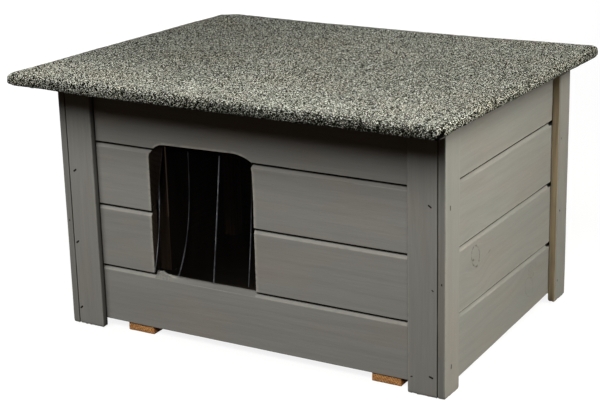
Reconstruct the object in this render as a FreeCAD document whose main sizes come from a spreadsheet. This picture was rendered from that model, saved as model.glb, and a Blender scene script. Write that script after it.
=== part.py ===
import FreeCAD, Part
import os
import math
import Sketcher

# Outdoor cat house of tongue-and-groove boards on two runners, with a felted
# lid on rear hinges and a door curtain of clear strips.
# Millimetres. +X right along the front, +Y to the rear, +Z up.
# Origin: centre of the lid's outline in plan, at the runners' underside.

V = FreeCAD.Vector
doc = FreeCAD.newDocument("CatHouse")

# ---------------------------------------------------------------- dimensions
DIMS = [
    # whole house
    ("width_over", 600.0),        # over the side trims
    ("depth_over", 419.0),        # front trim face to rear trim end
    ("roof_width", 651.0),
    ("roof_depth", 537.4),
    ("front_overhang", 74.5),
    ("roof_low_front", 370.9),    # underside of the felt at the front edge
    ("roof_fall", 11.8),          # drop from front edge to rear edge
    ("roof_shift", -0.24),        # keeps the tilted lid centred on the origin
    # battens used as trims
    ("trim_thick", 11.0),
    ("trim_wide", 43.0),
    ("side_trim_front", 42.4),
    ("side_trim_rear", 39.5),
    ("trim_bottom", 2.5),
    ("trim_round", 1.2),
    # runners
    ("runner_thick", 12.5),
    ("runner_wide", 44.0),
    ("runner_left", -188.0),
    ("runner_right", 208.5),
    ("runner_setback", 2.0),      # runner end behind the wall face
    # tongue-and-groove boards
    ("board_thick", 14.0),
    ("board_pitch", 92.0),
    ("second_board", 96.4),       # lower edge of the second board
    ("shadow_gap", 3.0),
    ("bevel_rise", 4.5),
    ("bevel_deep", 4.0),
    ("tongue_thick", 4.0),
    ("tongue_rise", 7.0),
    ("slot_thick", 5.0),
    ("slot_deep", 8.0),
    ("lower_arris", 0.9),
    ("joint_gap", 0.1),
    ("lid_gap", 0.6),             # wall tops to lid panel
    # inside frame
    ("post_size", 22.0),
    ("post_top", 340.0),
    ("floor_thick", 12.0),
    ("stud_wide", 42.0),          # upright in the middle of each side wall
    ("stud_thick", 20.0),
    # door opening
    ("door_left", -158.0),
    ("door_right", 10.3),
    ("door_sill", 93.4),
    ("door_left_spring", 268.5),
    ("door_left_crown_x", -130.0),
    ("door_left_crown", 287.5),
    ("door_left_radius", 30.1),
    ("door_right_crown_x", -24.0),
    ("door_right_crown", 289.5),
    ("door_right_spring", 280.5),
    ("door_right_radius", 60.0),
    ("door_batten_wide", 32.0),
    ("door_batten_thick", 18.0),
    ("door_batten_left", -240.0),
    ("door_batten_right", 60.0),
    ("door_batten_top", 330.0),
    # curtain
    ("strip_first", -202.7),
    ("strip_pitch", 51.2),
    ("strip_slit", 1.0),
    ("strip_thick", 1.5),
    ("strip_bottom", 97.0),
    ("strip_pivot", 278.5),
    ("strip_wall_gap", 0.4),
    ("band_bottom", 279.6),
    ("band_top", 310.0),
    ("clamp_bottom", 284.0),
    ("clamp_top", 312.0),
    ("clamp_thick", 12.0),
    # lid
    ("panel_thick", 10.0),
    ("felt_thick", 2.2),
    ("felt_return", 14.0),
    ("lid_batten_long", 470.0),
    ("lid_batten_wide", 28.0),
    ("lid_batten_thick", 16.0),
    ("lid_batten_front_y", -140.0),
    ("lid_batten_rear_y", 140.0),
    # butt hinges
    ("hinge_x", 267.5),
    ("hinge_off", 3.4),           # pin axis from trim face and lid underside
    ("leaf_wide", 40.0),
    ("leaf_long", 25.0),
    ("leaf_thick", 1.5),
    ("knuckle_radius", 3.0),
    ("pin_radius", 1.5),
    ("pin_bore", 1.55),
    ("pin_long", 41.0),
    ("knuckle_mid", 13.5),
    ("knuckle_gap", 0.5),
    ("leaf_relief", 4.0),
    # fasteners
    ("screw_shank", 1.6),
    ("screw_hole", 1.7),
    ("sink_wide", 3.1),
    ("sink_deep", 1.4),
    ("screw_head", 3.2),
    ("screw_head_high", 1.0),
    ("nail_shank", 0.9),
    ("nail_head", 1.6),
    ("nail_head_high", 0.6),
    ("trim_nail_long", 34.0),
    ("board_nail_long", 28.0),
    ("clout_shank", 1.2),
    ("clout_head", 4.0),
    ("clout_head_high", 0.8),
    ("clout_long", 9.0),
]

sheet = doc.addObject("Spreadsheet::Sheet", "Params")
for row, (alias, value) in enumerate(DIMS, start=1):
    sheet.set("A%d" % row, alias)
    sheet.set("B%d" % row, repr(value))
    sheet.setAlias("B%d" % row, alias)
doc.recompute()


class Dim:
    """A size with its value and the formula that ties it to the sheet."""

    def __init__(self, val, txt):
        self.val = float(val)
        self.txt = txt

    def __add__(self, o):
        o = dim(o)
        return Dim(self.val + o.val, "(%s + %s)" % (self.txt, o.txt))

    def __radd__(self, o):
        return dim(o) + self

    def __sub__(self, o):
        o = dim(o)
        return Dim(self.val - o.val, "(%s - %s)" % (self.txt, o.txt))

    def __rsub__(self, o):
        return dim(o) - self

    def __mul__(self, o):
        o = dim(o)
        return Dim(self.val * o.val, "(%s * %s)" % (self.txt, o.txt))

    def __rmul__(self, o):
        return dim(o) * self

    def __truediv__(self, o):
        o = dim(o)
        return Dim(self.val / o.val, "(%s / %s)" % (self.txt, o.txt))

    def __neg__(self):
        return Dim(-self.val, "(0 - %s)" % self.txt)


def dim(o):
    if isinstance(o, Dim):
        return o
    return Dim(o, "(%r)" % float(o))


D = {}
for alias, _ in DIMS:
    D[alias] = Dim(float(sheet.get(alias)), "Params." + alias)

# ------------------------------------------------------------ derived places
front_face = -D["roof_depth"] / 2 + D["front_overhang"]      # front trim face
back_face = front_face + D["depth_over"]                     # back trim face
wall_front = front_face + D["trim_thick"]                    # front boards' face
wall_front_in = wall_front + D["board_thick"]
wall_back = back_face - D["trim_thick"]
wall_back_in = wall_back - D["board_thick"]
side_face = D["width_over"] / 2                              # side trim face
wall_side = side_face - D["trim_thick"]
wall_side_in = wall_side - D["board_thick"]
gap = D["joint_gap"]
wall_bottom = D["runner_thick"]
floor_low = D["runner_thick"]
floor_top = floor_low + D["floor_thick"]
fall = D["roof_fall"] / D["roof_depth"]


def lid_under(y):
    """Height of the lid panel's underside above a place on the depth axis."""
    return D["roof_low_front"] + D["felt_thick"] - fall * (y + D["roof_depth"] / 2)


def wall_top(y):
    return lid_under(y) - D["lid_gap"]


hinge_y = back_face + D["hinge_off"]
hinge_z = lid_under(hinge_y) - D["hinge_off"]

PARTS = []


def keep(obj, label):
    obj.Label = label
    PARTS.append((label, obj))
    return obj


# ------------------------------------------------------------------- helpers
def new_body(label):
    body = doc.addObject("PartDesign::Body", label)
    keep(body, label)
    return body


def origin_plane(body, role):
    for feat in body.Origin.OriginFeatures:
        if feat.Role == role:
            return feat
    raise RuntimeError("no plane " + role)


def outline(body, name, role, pts, arcs=None):
    """Closed outline; each corner is tied to the sheet in both directions.
    arcs: {edge index: (radius, bulge point)} turns that edge into an arc."""
    arcs = arcs or {}
    sk = body.newObject("Sketcher::SketchObject", name)
    sk.AttachmentSupport = [(origin_plane(body, role), "")]
    sk.MapMode = "FlatFace"
    pts = [(dim(a), dim(b)) for a, b in pts]
    n = len(pts)
    ends = []
    for i in range(n):
        a = V(pts[i][0].val, pts[i][1].val, 0)
        c = V(pts[(i + 1) % n][0].val, pts[(i + 1) % n][1].val, 0)
        if i in arcs:
            bulge = V(arcs[i][1][0], arcs[i][1][1], 0)
            arc = Part.Arc(a, bulge, c)
            sk.addGeometry(arc, False)
            geo = sk.Geometry[i]
            first = geo.StartPoint
            ends.append((1, 2) if first.distanceToPoint(a) < 1e-6 else (2, 1))
        else:
            sk.addGeometry(Part.LineSegment(a, c), False)
            ends.append((1, 2))
    for i in range(n):
        j = (i + 1) % n
        sk.addConstraint(Sketcher.Constraint("Coincident", i, ends[i][1], j, ends[j][0]))
    for i in range(n):
        for axis, kind in ((0, "DistanceX"), (1, "DistanceY")):
            k = sk.addConstraint(
                Sketcher.Constraint(kind, -1, 1, i, ends[i][0], pts[i][axis].val))
            cname = "%s%d" % ("ax"[axis] + "pos", i)
            sk.renameConstraint(k, cname)
            sk.setExpression("Constraints." + cname, pts[i][axis].txt)
    for i, (radius, _) in arcs.items():
        k = sk.addConstraint(Sketcher.Constraint("Radius", i, dim(radius).val))
        sk.renameConstraint(k, "arc%d" % i)
        sk.setExpression("Constraints.arc%d" % i, dim(radius).txt)
    return sk


def pad(body, sk, name, length, reverse=False):
    feat = body.newObject("PartDesign::Pad", name)
    feat.Profile = sk
    feat.Length = dim(length).val
    feat.setExpression("Length", dim(length).txt)
    feat.Reversed = reverse
    body.Tip = feat
    return feat


def cut_through(body, sk, name):
    feat = body.newObject("PartDesign::Pocket", name)
    feat.Profile = sk
    feat.Type = "ThroughAll"
    feat.SideType = "Symmetric"
    body.Tip = feat
    return feat


def place(obj, x=None, y=None, z=None, tilt=False):
    base = [0.0, 0.0, 0.0]
    for k, p in enumerate((x, y, z)):
        if p is not None:
            base[k] = dim(p).val
    rot = FreeCAD.Rotation()
    if tilt:
        rot = FreeCAD.Rotation(V(1, 0, 0), -math.degrees(math.atan(fall.val)))
    obj.Placement = FreeCAD.Placement(V(*base), rot)
    for axis, p in zip("xyz", (x, y, z)):
        if p is not None:
            obj.setExpression(".Placement.Base." + axis, dim(p).txt)
    return obj


def round_long_edges(body, direction, radius, shortest):
    """Rounds the long arrises that run along one direction."""
    doc.recompute()
    base = body.Tip
    names = []
    for k, e in enumerate(base.Shape.Edges, start=1):
        if e.Curve.TypeId == "Part::GeomLine" and e.Length > shortest:
            d = e.Curve.Direction
            if abs(d.dot(direction)) > 0.99:
                names.append("Edge%d" % k)
    feat = body.newObject("PartDesign::Fillet", body.Name + "Round")
    feat.Base = (base, names)
    feat.Radius = dim(radius).val
    feat.setExpression("Radius", dim(radius).txt)
    body.Tip = feat
    doc.recompute()
    return feat


def bar(label, role, pts, length, x=None, y=None, z=None, reverse=False,
        rounded=None):
    """A piece of one section along its length."""
    body = new_body(label)
    sk = outline(body, label + "Section", role, pts)
    pad(body, sk, label + "Pad", length, reverse)
    place(body, x, y, z)
    if rounded is not None:
        round_long_edges(body, rounded[0], rounded[1], rounded[2])
    return body


def rect(a0, b0, a1, b1):
    return [(a0, b0), (a1, b0), (a1, b1), (a0, b1)]


# --------------------------------------------------------------- wall boards
def board_edge(index):
    """Lower edge of board 0..3, counted from the bottom."""
    if index == 0:
        return wall_bottom
    return D["second_board"] + D["board_pitch"] * (index - 1)


def board_section(index, top_flat=None):
    """Section as (depth from the face, height): groove below, tongue above,
    bevelled upper face edge; the top board is sawn off square or sloping."""
    low = board_edge(index)
    t = D["board_thick"]
    mid = t / 2
    pts = []
    a = D["lower_arris"]
    pts.append((dim(0.0), low + a))
    pts.append((a, low))
    if index > 0:
        pts.append((mid - D["slot_thick"] / 2, low))
        pts.append((mid - D["slot_thick"] / 2, low + D["slot_deep"]))
        pts.append((mid + D["slot_thick"] / 2, low + D["slot_deep"]))
        pts.append((mid + D["slot_thick"] / 2, low))
    pts.append((t, low))
    if index < 3:
        nxt = board_edge(index + 1)
        shoulder = nxt - D["shadow_gap"]
        pts.append((t, nxt - gap))
        pts.append((mid + D["tongue_thick"] / 2, nxt - gap))
        pts.append((mid + D["tongue_thick"] / 2, nxt + D["tongue_rise"]))
        pts.append((mid - D["tongue_thick"] / 2, nxt + D["tongue_rise"]))
        pts.append((mid - D["tongue_thick"] / 2, shoulder))
        pts.append((D["bevel_deep"], shoulder))
        pts.append((dim(0.0), shoulder - D["bevel_rise"]))
    else:
        pts.append((t, top_flat))
        pts.append((dim(0.0), top_flat))
    return pts


def front_board(label, index, x0, x1, top=None):
    pts = [(wall_front + p, z) for p, z in board_section(index, top)]
    return bar(label, "YZ_Plane", pts, x1 - x0, x=x0)


def back_board(label, index, x0, x1, top=None):
    pts = [(wall_back - p, z) for p, z in board_section(index, top)]
    return bar(label, "YZ_Plane", pts, x1 - x0, x=x0)


def side_board(label, index, side, y0, y1, top=None):
    pts = [((wall_side - p) * side, z) for p, z in board_section(index, top)]
    return bar(label, "XZ_Plane", pts, y1 - y0, y=y0, reverse=True)


def door_cut(body, x0):
    """Sawn door outline with two rounded upper corners."""
    l, r = D["door_left"] - x0, D["door_right"] - x0
    lc, rc = D["door_left_crown_x"] - x0, D["door_right_crown_x"] - x0
    pts = [
        (l, D["door_sill"]), (r, D["door_sill"]), (r, D["door_right_spring"]),
        (rc, D["door_right_crown"]), (lc, D["door_left_crown"]),
        (l, D["door_left_spring"]),
    ]

    def bulge(p, q, radius, cx_sign):
        (x1, z1), (x2, z2) = (p[0].val, p[1].val), (q[0].val, q[1].val)
        half = math.hypot(x2 - x1, z2 - z1) / 2
        sag = radius.val - math.sqrt(radius.val ** 2 - half ** 2)
        nx, nz = (z2 - z1) / (2 * half), -(x2 - x1) / (2 * half)
        if nz < 0:
            nx, nz = -nx, -nz
        return ((x1 + x2) / 2 + nx * sag, (z1 + z2) / 2 + nz * sag)

    arcs = {
        2: (D["door_right_radius"], bulge(pts[2], pts[3], D["door_right_radius"], 1)),
        4: (D["door_left_radius"], bulge(pts[4], pts[5], D["door_left_radius"], -1)),
    }
    sk = outline(body, body.Label + "Door", "XZ_Plane", pts, arcs)
    return cut_through(body, sk, body.Label + "DoorCut")


front_x0 = -wall_side + gap
front_x1 = wall_side - gap
top_front = wall_top(wall_front_in)
top_back = wall_top(wall_back)

front_bottom = front_board("front_board_bottom", 0, front_x0, front_x1)
front_board("front_board_2_left", 1, front_x0, D["door_left"])
front_board("front_board_2_right", 1, D["door_right"], front_x1)
front_3_left = front_board("front_board_3_left", 2, front_x0, D["door_left"] + 14.0)
front_board("front_board_3_right", 2, D["door_right"], front_x1)
front_top = front_board("front_board_top", 3, front_x0, front_x1, top_front)
for b in (front_bottom, front_3_left, front_top):
    doc.recompute()
    before = b.Shape.Volume
    door_cut(b, front_x0)
    doc.recompute()
    print(b.Label, "door cut removes", round(before - b.Shape.Volume, 1), "mm3")

for i, nm in enumerate(("bottom", "2", "3", "top")):
    back_board("back_board_" + nm, i, front_x0, front_x1, top_back)

side_y0 = wall_front_in + gap
side_y1 = wall_back_in - gap
for side, word in ((-1, "left"), (1, "right")):
    for i, nm in enumerate(("bottom", "2", "3", "top")):
        b = side_board("%s_board_%s" % (word, nm), i, side, side_y0, side_y1,
                       wall_top(side_y0))
        if i == 3:
            # upper edge sawn along the lid's fall
            doc.recompute()
            before = b.Shape.Volume
            hi = wall_top(side_y0) + 5.0
            pts = [(dim(-2.0), wall_top(side_y0) + fall * 2.0),
                   (side_y1 - side_y0 + 2.0, wall_top(side_y1) - fall * 2.0),
                   (side_y1 - side_y0 + 2.0, hi), (dim(-2.0), hi)]
            sk = outline(b, b.Label + "Slope", "YZ_Plane", pts)
            cut_through(b, sk, b.Label + "SlopeCut")
            doc.recompute()
            print(b.Label, "slope cut removes", round(before - b.Shape.Volume, 1))

# --------------------------------------------------------------------- trims
rnd = D["trim_round"]
for side, word in ((-1, "left"), (1, "right")):
    # front and back trims lie between the side trims, on the wall faces
    inner = wall_side - D["trim_wide"]
    a, c = (inner, wall_side - gap) if side > 0 else (-wall_side + gap, -inner)
    bar("front_trim_" + word, "XY_Plane", rect(a, front_face, c, wall_front - gap),
        wall_top(wall_front) - D["trim_bottom"], z=D["trim_bottom"],
        rounded=(V(0, 0, 1), rnd, 100.0))
    bar("back_trim_" + word, "XY_Plane", rect(a, wall_back + gap, c, back_face),
        wall_top(back_face) - D["trim_bottom"], z=D["trim_bottom"],
        rounded=(V(0, 0, 1), rnd, 100.0))
    # side trims, tops sawn along the lid's fall
    for where, y0, y1 in (("front", front_face, front_face + D["side_trim_front"]),
                          ("rear", back_face - D["side_trim_rear"], back_face)):
        pts = [(y0, D["trim_bottom"]), (y1, D["trim_bottom"]),
               (y1, wall_top(y1)), (y0, wall_top(y0))]
        x0 = wall_side if side > 0 else -side_face
        bar("side_trim_%s_%s" % (word, where), "YZ_Plane", pts, D["trim_thick"],
            x=x0, rounded=(V(0, 0, 1), rnd, 100.0))

# --------------------------------------------- runners, floor, posts, battens
runner_y0 = wall_front + D["runner_setback"]
runner_y1 = wall_back - D["runner_setback"]
for word, cx in (("left", D["runner_left"]), ("right", D["runner_right"])):
    bar("runner_" + word, "XZ_Plane",
        rect(cx - D["runner_wide"] / 2, dim(0.0), cx + D["runner_wide"] / 2,
             D["runner_thick"]),
        runner_y1 - runner_y0, y=runner_y0, reverse=True,
        rounded=(V(0, 1, 0), 1.0, 100.0))

bar("floor_panel", "XY_Plane",
    rect(-wall_side_in + gap, wall_front_in + gap, wall_side_in - gap, wall_back_in - gap),
    D["floor_thick"], z=floor_low)

for fword, y0 in (("front", wall_front_in + gap),
                  ("rear", wall_back_in - gap - D["post_size"])):
    for sword, x0 in (("left", -wall_side_in + gap),
                      ("right", wall_side_in - gap - D["post_size"])):
        bar("post_%s_%s" % (fword, sword), "XY_Plane",
            rect(x0, y0, x0 + D["post_size"], y0 + D["post_size"]),
            D["post_top"] - floor_top, z=floor_top)

for word, x0 in (("left", D["door_batten_left"]), ("right", D["door_batten_right"])):
    bar("door_batten_" + word, "XY_Plane",
        rect(x0, wall_front_in + gap, x0 + D["door_batten_wide"],
             wall_front_in + gap + D["door_batten_thick"]),
        D["door_batten_top"] - floor_top, z=floor_top)

stud_y0 = (wall_front_in + wall_back_in) / 2 - D["stud_wide"] / 2
for word, x0 in (("left", -wall_side_in + gap),
                 ("right", wall_side_in - gap - D["stud_thick"])):
    bar("stud_" + word, "XY_Plane",
        rect(x0, stud_y0, x0 + D["stud_thick"], stud_y0 + D["stud_wide"]),
        D["post_top"] - floor_top, z=floor_top)

# ------------------------------------------------------------------- curtain
strip_y0 = wall_front_in + D["strip_wall_gap"]
strip_y1 = strip_y0 + D["strip_thick"]
for k in range(5):
    x0 = D["strip_first"] + D["strip_pitch"] * k + D["strip_slit"] / 2
    bar("curtain_strip_%d" % (k + 1), "YZ_Plane",
        rect(strip_y0, D["strip_bottom"], strip_y1, D["strip_pivot"]),
        D["strip_pitch"] - D["strip_slit"], x=x0)
band_x0 = D["strip_first"]
band_long = D["strip_pitch"] * 5
bar("curtain_band", "YZ_Plane",
    rect(strip_y0, D["band_bottom"], strip_y1, D["band_top"]), band_long, x=band_x0)
bar("curtain_clamp_bar", "YZ_Plane",
    rect(strip_y1, D["clamp_bottom"], strip_y1 + D["clamp_thick"], D["clamp_top"]),
    band_long, x=band_x0)

# ----------------------------------------------------------------------- lid
# Modelled flat about the hinge pins' axis, then tilted to the lid's fall.
lid_front = -D["roof_depth"] / 2 - hinge_y + D["roof_shift"]
lid_rear = D["roof_depth"] / 2 - hinge_y + D["roof_shift"]
under = D["hinge_off"]
felt = D["felt_thick"]


def lid_bar(label, role, pts, length, x=None, z=None, along=None):
    """A piece on the lid: section drawn about the pin axis, tilted in place."""
    body = new_body(label)
    sk = outline(body, label + "Section", role, pts)
    if along is not None:
        sk.AttachmentOffset = FreeCAD.Placement(V(0, 0, dim(along).val), FreeCAD.Rotation())
        sk.setExpression(".AttachmentOffset.Base.z", dim(along).txt)
    pad(body, sk, label + "Pad", length)
    place(body, None, hinge_y, hinge_z, tilt=True)
    return body


half_w = D["roof_width"] / 2
lid_bar("lid_panel", "XY_Plane",
        rect(-half_w + felt, lid_front + felt, half_w - felt, lid_rear - felt),
        D["panel_thick"], along=under)

for word, yc in (("front", D["lid_batten_front_y"]), ("rear", D["lid_batten_rear_y"])):
    y0 = yc - hinge_y - D["lid_batten_wide"] / 2
    lid_bar("lid_batten_" + word, "XY_Plane",
            rect(-D["lid_batten_long"] / 2, y0, D["lid_batten_long"] / 2,
                 y0 + D["lid_batten_wide"]),
            D["lid_batten_thick"], along=under - D["lid_batten_thick"])


def block(name, lx, ly, lz, x, y, z):
    o = doc.addObject("Part::Box", name)
    for prop, val in (("Length", lx), ("Width", ly), ("Height", lz)):
        setattr(o, prop, dim(val).val)
        o.setExpression(prop, dim(val).txt)
    return place(o, x, y, z)


def rod(name, radius, height, x, y, z, axis):
    """Cylinder starting at x, y, z and running along +X, -Y or +Z."""
    o = doc.addObject("Part::Cylinder", name)
    o.Radius = dim(radius).val
    o.setExpression("Radius", dim(radius).txt)
    o.Height = dim(height).val
    o.setExpression("Height", dim(height).txt)
    rot = {"x": FreeCAD.Rotation(V(0, 1, 0), 90), "y": FreeCAD.Rotation(V(1, 0, 0), 90),
           "z": FreeCAD.Rotation()}[axis]
    o.Placement = FreeCAD.Placement(V(dim(x).val, dim(y).val, dim(z).val), rot)
    for ax, p in zip("xyz", (x, y, z)):
        o.setExpression(".Placement.Base." + ax, dim(p).txt)
    return o


def sink(name, wide, narrow, height, x, y, z, axis):
    """Conical countersink, wide end at x, y, z, narrowing along -Y or +Z."""
    o = doc.addObject("Part::Cone", name)
    for prop, val in (("Radius1", wide), ("Radius2", narrow), ("Height", height)):
        setattr(o, prop, dim(val).val)
        o.setExpression(prop, dim(val).txt)
    rot = {"y": FreeCAD.Rotation(V(1, 0, 0), 90), "z": FreeCAD.Rotation()}[axis]
    o.Placement = FreeCAD.Placement(V(dim(x).val, dim(y).val, dim(z).val), rot)
    for ax, p in zip("xyz", (x, y, z)):
        o.setExpression(".Placement.Base." + ax, dim(p).txt)
    return o


def fuse(name, shapes):
    o = doc.addObject("Part::MultiFuse", name)
    o.Shapes = shapes
    o.Refine = True
    return o


def cut(name, base, tool):
    o = doc.addObject("Part::Cut", name)
    o.Base = base
    o.Tool = tool
    o.Refine = True
    return o


# felt: wraps top and edges, with a narrow return under the panel
felt_outer = block("FeltOuter", D["roof_width"], D["roof_depth"], D["panel_thick"] + felt * 2,
                   -half_w, lid_front, under - felt)
felt_room = block("FeltRoom", D["roof_width"] - felt * 2, D["roof_depth"] - felt * 2,
                  D["panel_thick"], -half_w + felt, lid_front + felt, under)
ret = D["felt_return"]
felt_open = block("FeltOpen", D["roof_width"] - ret * 2, D["roof_depth"] - ret * 2,
                  felt + 1.0, -half_w + ret, lid_front + ret, under - felt - 0.5)
roof_felt = cut("RoofFelt", felt_outer, fuse("FeltHollow", [felt_room, felt_open]))
keep(roof_felt, "roof_felt")
place(roof_felt, None, hinge_y, hinge_z, tilt=True)

# -------------------------------------------------------------------- hinges
kr = D["knuckle_radius"]
km = D["knuckle_mid"]
kg = D["knuckle_gap"]
lw = D["leaf_wide"]
lt = D["leaf_thick"]
off = D["hinge_off"]
rel = D["leaf_relief"]
leaf_screws = [(-13.0, 12.0), (13.0, 12.0), (0.0, 19.0)]

for side, word in ((-1, "left"), (1, "right")):
    cx = D["hinge_x"] * side
    # fixed leaf: plate on the back trim, two outer knuckles
    plate = block("FixedPlate" + word, lw, lt, D["leaf_long"], -lw / 2, -off, -D["leaf_long"])
    knuckles = rod("FixedKnuckle" + word, kr, lw, -lw / 2, 0.0, 0.0, "x")
    web = block("FixedWeb" + word, lw, lt, kr, -lw / 2, -off + 0.4, -kr)
    window = block("FixedWindow" + word, km + kg * 2, kr * 4, rel * 2,
                   -km / 2 - kg, -off - 0.5, -rel)
    bores = [rod("FixedBore" + word, D["pin_bore"], lw + 2.0, -lw / 2 - 1.0, 0.0, 0.0, "x")]
    for n, (sx, sz) in enumerate(leaf_screws):
        bores.append(rod("FixedHole%s%d" % (word, n), D["screw_hole"], 4.0,
                         sx, -off + 3.0, -sz, "y"))
        bores.append(sink("FixedSink%s%d" % (word, n), D["sink_wide"], D["screw_hole"],
                          D["sink_deep"], sx, -off + lt, -sz, "y"))
    leaf = cut("FixedLeaf" + word, fuse("FixedSolid" + word, [plate, knuckles, web]),
               fuse("FixedTools" + word, [window] + bores))
    keep(leaf, "hinge_leaf_fixed_" + word)
    place(leaf, cx, hinge_y, hinge_z)
    # moving leaf: plate under the lid's rear overhang, one middle knuckle
    plate = block("MovingPlate" + word, lw, D["leaf_long"], lt, -lw / 2, 0.0, off - lt)
    knuckle = rod("MovingKnuckle" + word, kr, km, -km / 2, 0.0, 0.0, "x")
    side_a = block("MovingReliefA" + word, lw / 2 - km / 2, rel * 2, kr * 4,
                   -lw / 2 - 0.0, -rel, -kr * 2)
    side_b = block("MovingReliefB" + word, lw / 2 - km / 2, rel * 2, kr * 4,
                   km / 2, -rel, -kr * 2)
    bores = [rod("MovingBore" + word, D["pin_bore"], lw + 2.0, -lw / 2 - 1.0, 0.0, 0.0, "x")]
    for n, (sx, sy) in enumerate(leaf_screws):
        bores.append(rod("MovingHole%s%d" % (word, n), D["screw_hole"], 4.0,
                         sx, sy, off - 3.0, "z"))
        bores.append(sink("MovingSink%s%d" % (word, n), D["sink_wide"], D["screw_hole"],
                          D["sink_deep"], sx, sy, off - lt, "z"))
    leaf = cut("MovingLeaf" + word, fuse("MovingSolid" + word, [plate, knuckle]),
               fuse("MovingTools" + word, [side_a, side_b] + bores))
    keep(leaf, "hinge_leaf_moving_" + word)
    place(leaf, cx, hinge_y, hinge_z, tilt=True)


# ----------------------------------------------------------- fastener groups
# Each group is a set of separate solids: a shank under a flat head.
def fastener(head_r, head_h, shank_r, length):
    """Head on +Z above the origin plane, shank along -Z."""
    head = Part.makeCylinder(head_r, head_h, V(0, 0, 0), V(0, 0, 1))
    shank = Part.makeCylinder(shank_r, length + head_h / 2, V(0, 0, -length), V(0, 0, 1))
    return head.fuse(shank).removeSplitter()


def group(label, master, spots, base=None, more=()):
    """spots: list of (point, outward direction); more: further (master, spots)."""
    solids = []
    for form, places in [(master, spots)] + list(more):
        for pnt, out in places:
            s = form.copy()
            s.Placement = FreeCAD.Placement(V(*pnt), FreeCAD.Rotation(V(0, 0, 1), V(*out)))
            solids.append(s)
    o = doc.addObject("Part::Feature", label)
    o.Shape = Part.makeCompound(solids)
    o.Placement = base or FreeCAD.Placement()
    return keep(o, label)


def size(name):
    return D[name].val


lid_place = FreeCAD.Placement(
    V(0, hinge_y.val, hinge_z.val),
    FreeCAD.Rotation(V(1, 0, 0), -math.degrees(math.atan(fall.val))))

# hinge pins, one straight pin through each hinge
pins = []
for side in (-1, 1):
    pins.append(Part.makeCylinder(size("pin_radius"), size("pin_long"),
                                  V(side * size("hinge_x") - size("pin_long") / 2,
                                    hinge_y.val, hinge_z.val), V(1, 0, 0)))
o = doc.addObject("Part::Feature", "hinge_pins")
o.Shape = Part.makeCompound(pins)
o.Placement = FreeCAD.Placement()
keep(o, "hinge_pins")

def countersunk(head_r, deep, shank_r, length):
    """Flat-topped screw with a conical head, its top at the origin plane."""
    head = Part.makeCone(shank_r, head_r, deep, V(0, 0, -deep), V(0, 0, 1))
    shank = Part.makeCylinder(shank_r, length - deep / 2, V(0, 0, -length), V(0, 0, 1))
    return head.fuse(shank).removeSplitter()


screw = countersunk(size("sink_wide") - 0.1, size("sink_deep"), size("screw_shank"), 9.0)
spots = []
for side in (-1, 1):
    for sx, sz in leaf_screws:
        spots.append(((side * size("hinge_x") + sx, back_face.val + size("leaf_thick"),
                       hinge_z.val - sz), (0, 1, 0)))
group("hinge_screws_trim", screw, spots)
spots = []
for side in (-1, 1):
    for sx, sy in leaf_screws:
        spots.append(((side * size("hinge_x") + sx, sy, size("hinge_off") - size("leaf_thick")),
                      (0, 0, -1)))
lid_hinge_screws = (screw, spots)

# nails through the trims into boards and posts; sunk so the heads lie flush
nail = fastener(size("nail_head"), size("nail_head_high"), size("nail_shank"),
                size("trim_nail_long"))
deep = size("nail_head_high") - 0.15
ff, bf, sf = front_face.val, back_face.val, side_face.val
lift = size("trim_bottom")
spots = []
for x, z in ((-279, 233), (-283, 125), (-284, 24), (278, 258), (282, 146), (280, 26),
             (252, 22)):
    spots.append(((x, ff + deep, z + lift), (0, -1, 0)))
for x, z in ((-268, 240), (-272, 130), (-270, 25), (268, 245), (271, 135), (270, 24)):
    spots.append(((x, bf - deep, z + lift), (0, 1, 0)))
for side in (-1, 1):
    for y, z in ((13.5, 255), (20.0, 146), (18.5, 38)):
        spots.append(((side * (sf - deep), ff + y, z + lift), (side, 0, 0)))
    for y, z in ((30.0, 250), (28.0, 140), (31.0, 32)):
        spots.append(((side * (sf - deep), bf - y, z + lift), (side, 0, 0)))
    # one through the side trim's edge
    spots.append(((side * 294.7, ff + deep, 156 + lift), (0, -1, 0)))
group("trim_nails", nail, spots)

# nails through every board end into a post, flush under the trims, and from
# inside through the door battens and the studs into the boards
nail = fastener(size("nail_head"), size("nail_head_high"), size("nail_shank"),
                size("board_nail_long"))
deep = size("nail_head_high") + 0.1
spots = []
wf, wb, ws = wall_front.val, wall_back.val, wall_side.val
heights = [45.0, 155.0, 225.0, 315.0]
px = ws - size("board_thick") - size("post_size") / 2 - 4.0
for z in heights:
    for x in (-px, px):
        spots.append(((x, wf + deep, z + 6.0), (0, -1, 0)))
        spots.append(((x, wb - deep, z + 6.0), (0, 1, 0)))
    for y in (wf + size("board_thick") + size("post_size") / 2 + 5.0,
              wb - size("board_thick") - size("post_size") / 2 - 5.0):
        for side in (-1, 1):
            spots.append(((side * (ws - deep), y, z - 6.0), (side, 0, 0)))
for z in (45.0, 140.0, 235.0, 318.0):
    for bx in (size("door_batten_left"), size("door_batten_right")):
        spots.append(((bx + size("door_batten_wide") / 2,
                       wall_front_in.val + gap.val + size("door_batten_thick") - deep, z),
                      (0, 1, 0)))
    for side in (-1, 1):
        spots.append(((side * (wall_side_in.val - gap.val - size("stud_thick") + deep),
                       stud_y0.val + size("stud_wide") / 2, z), (-side, 0, 0)))
group("board_nails", nail, spots)

# screws up through the runners into the floor
screw = fastener(size("screw_head"), 2.0, size("screw_shank"), 16.0)
spots = []
for cx in (size("runner_left"), size("runner_right")):
    for y in (-120.0, 15.0, 150.0):
        spots.append(((cx, y, 3.0), (0, 0, -1)))
group("runner_screws", screw, spots)

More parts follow.
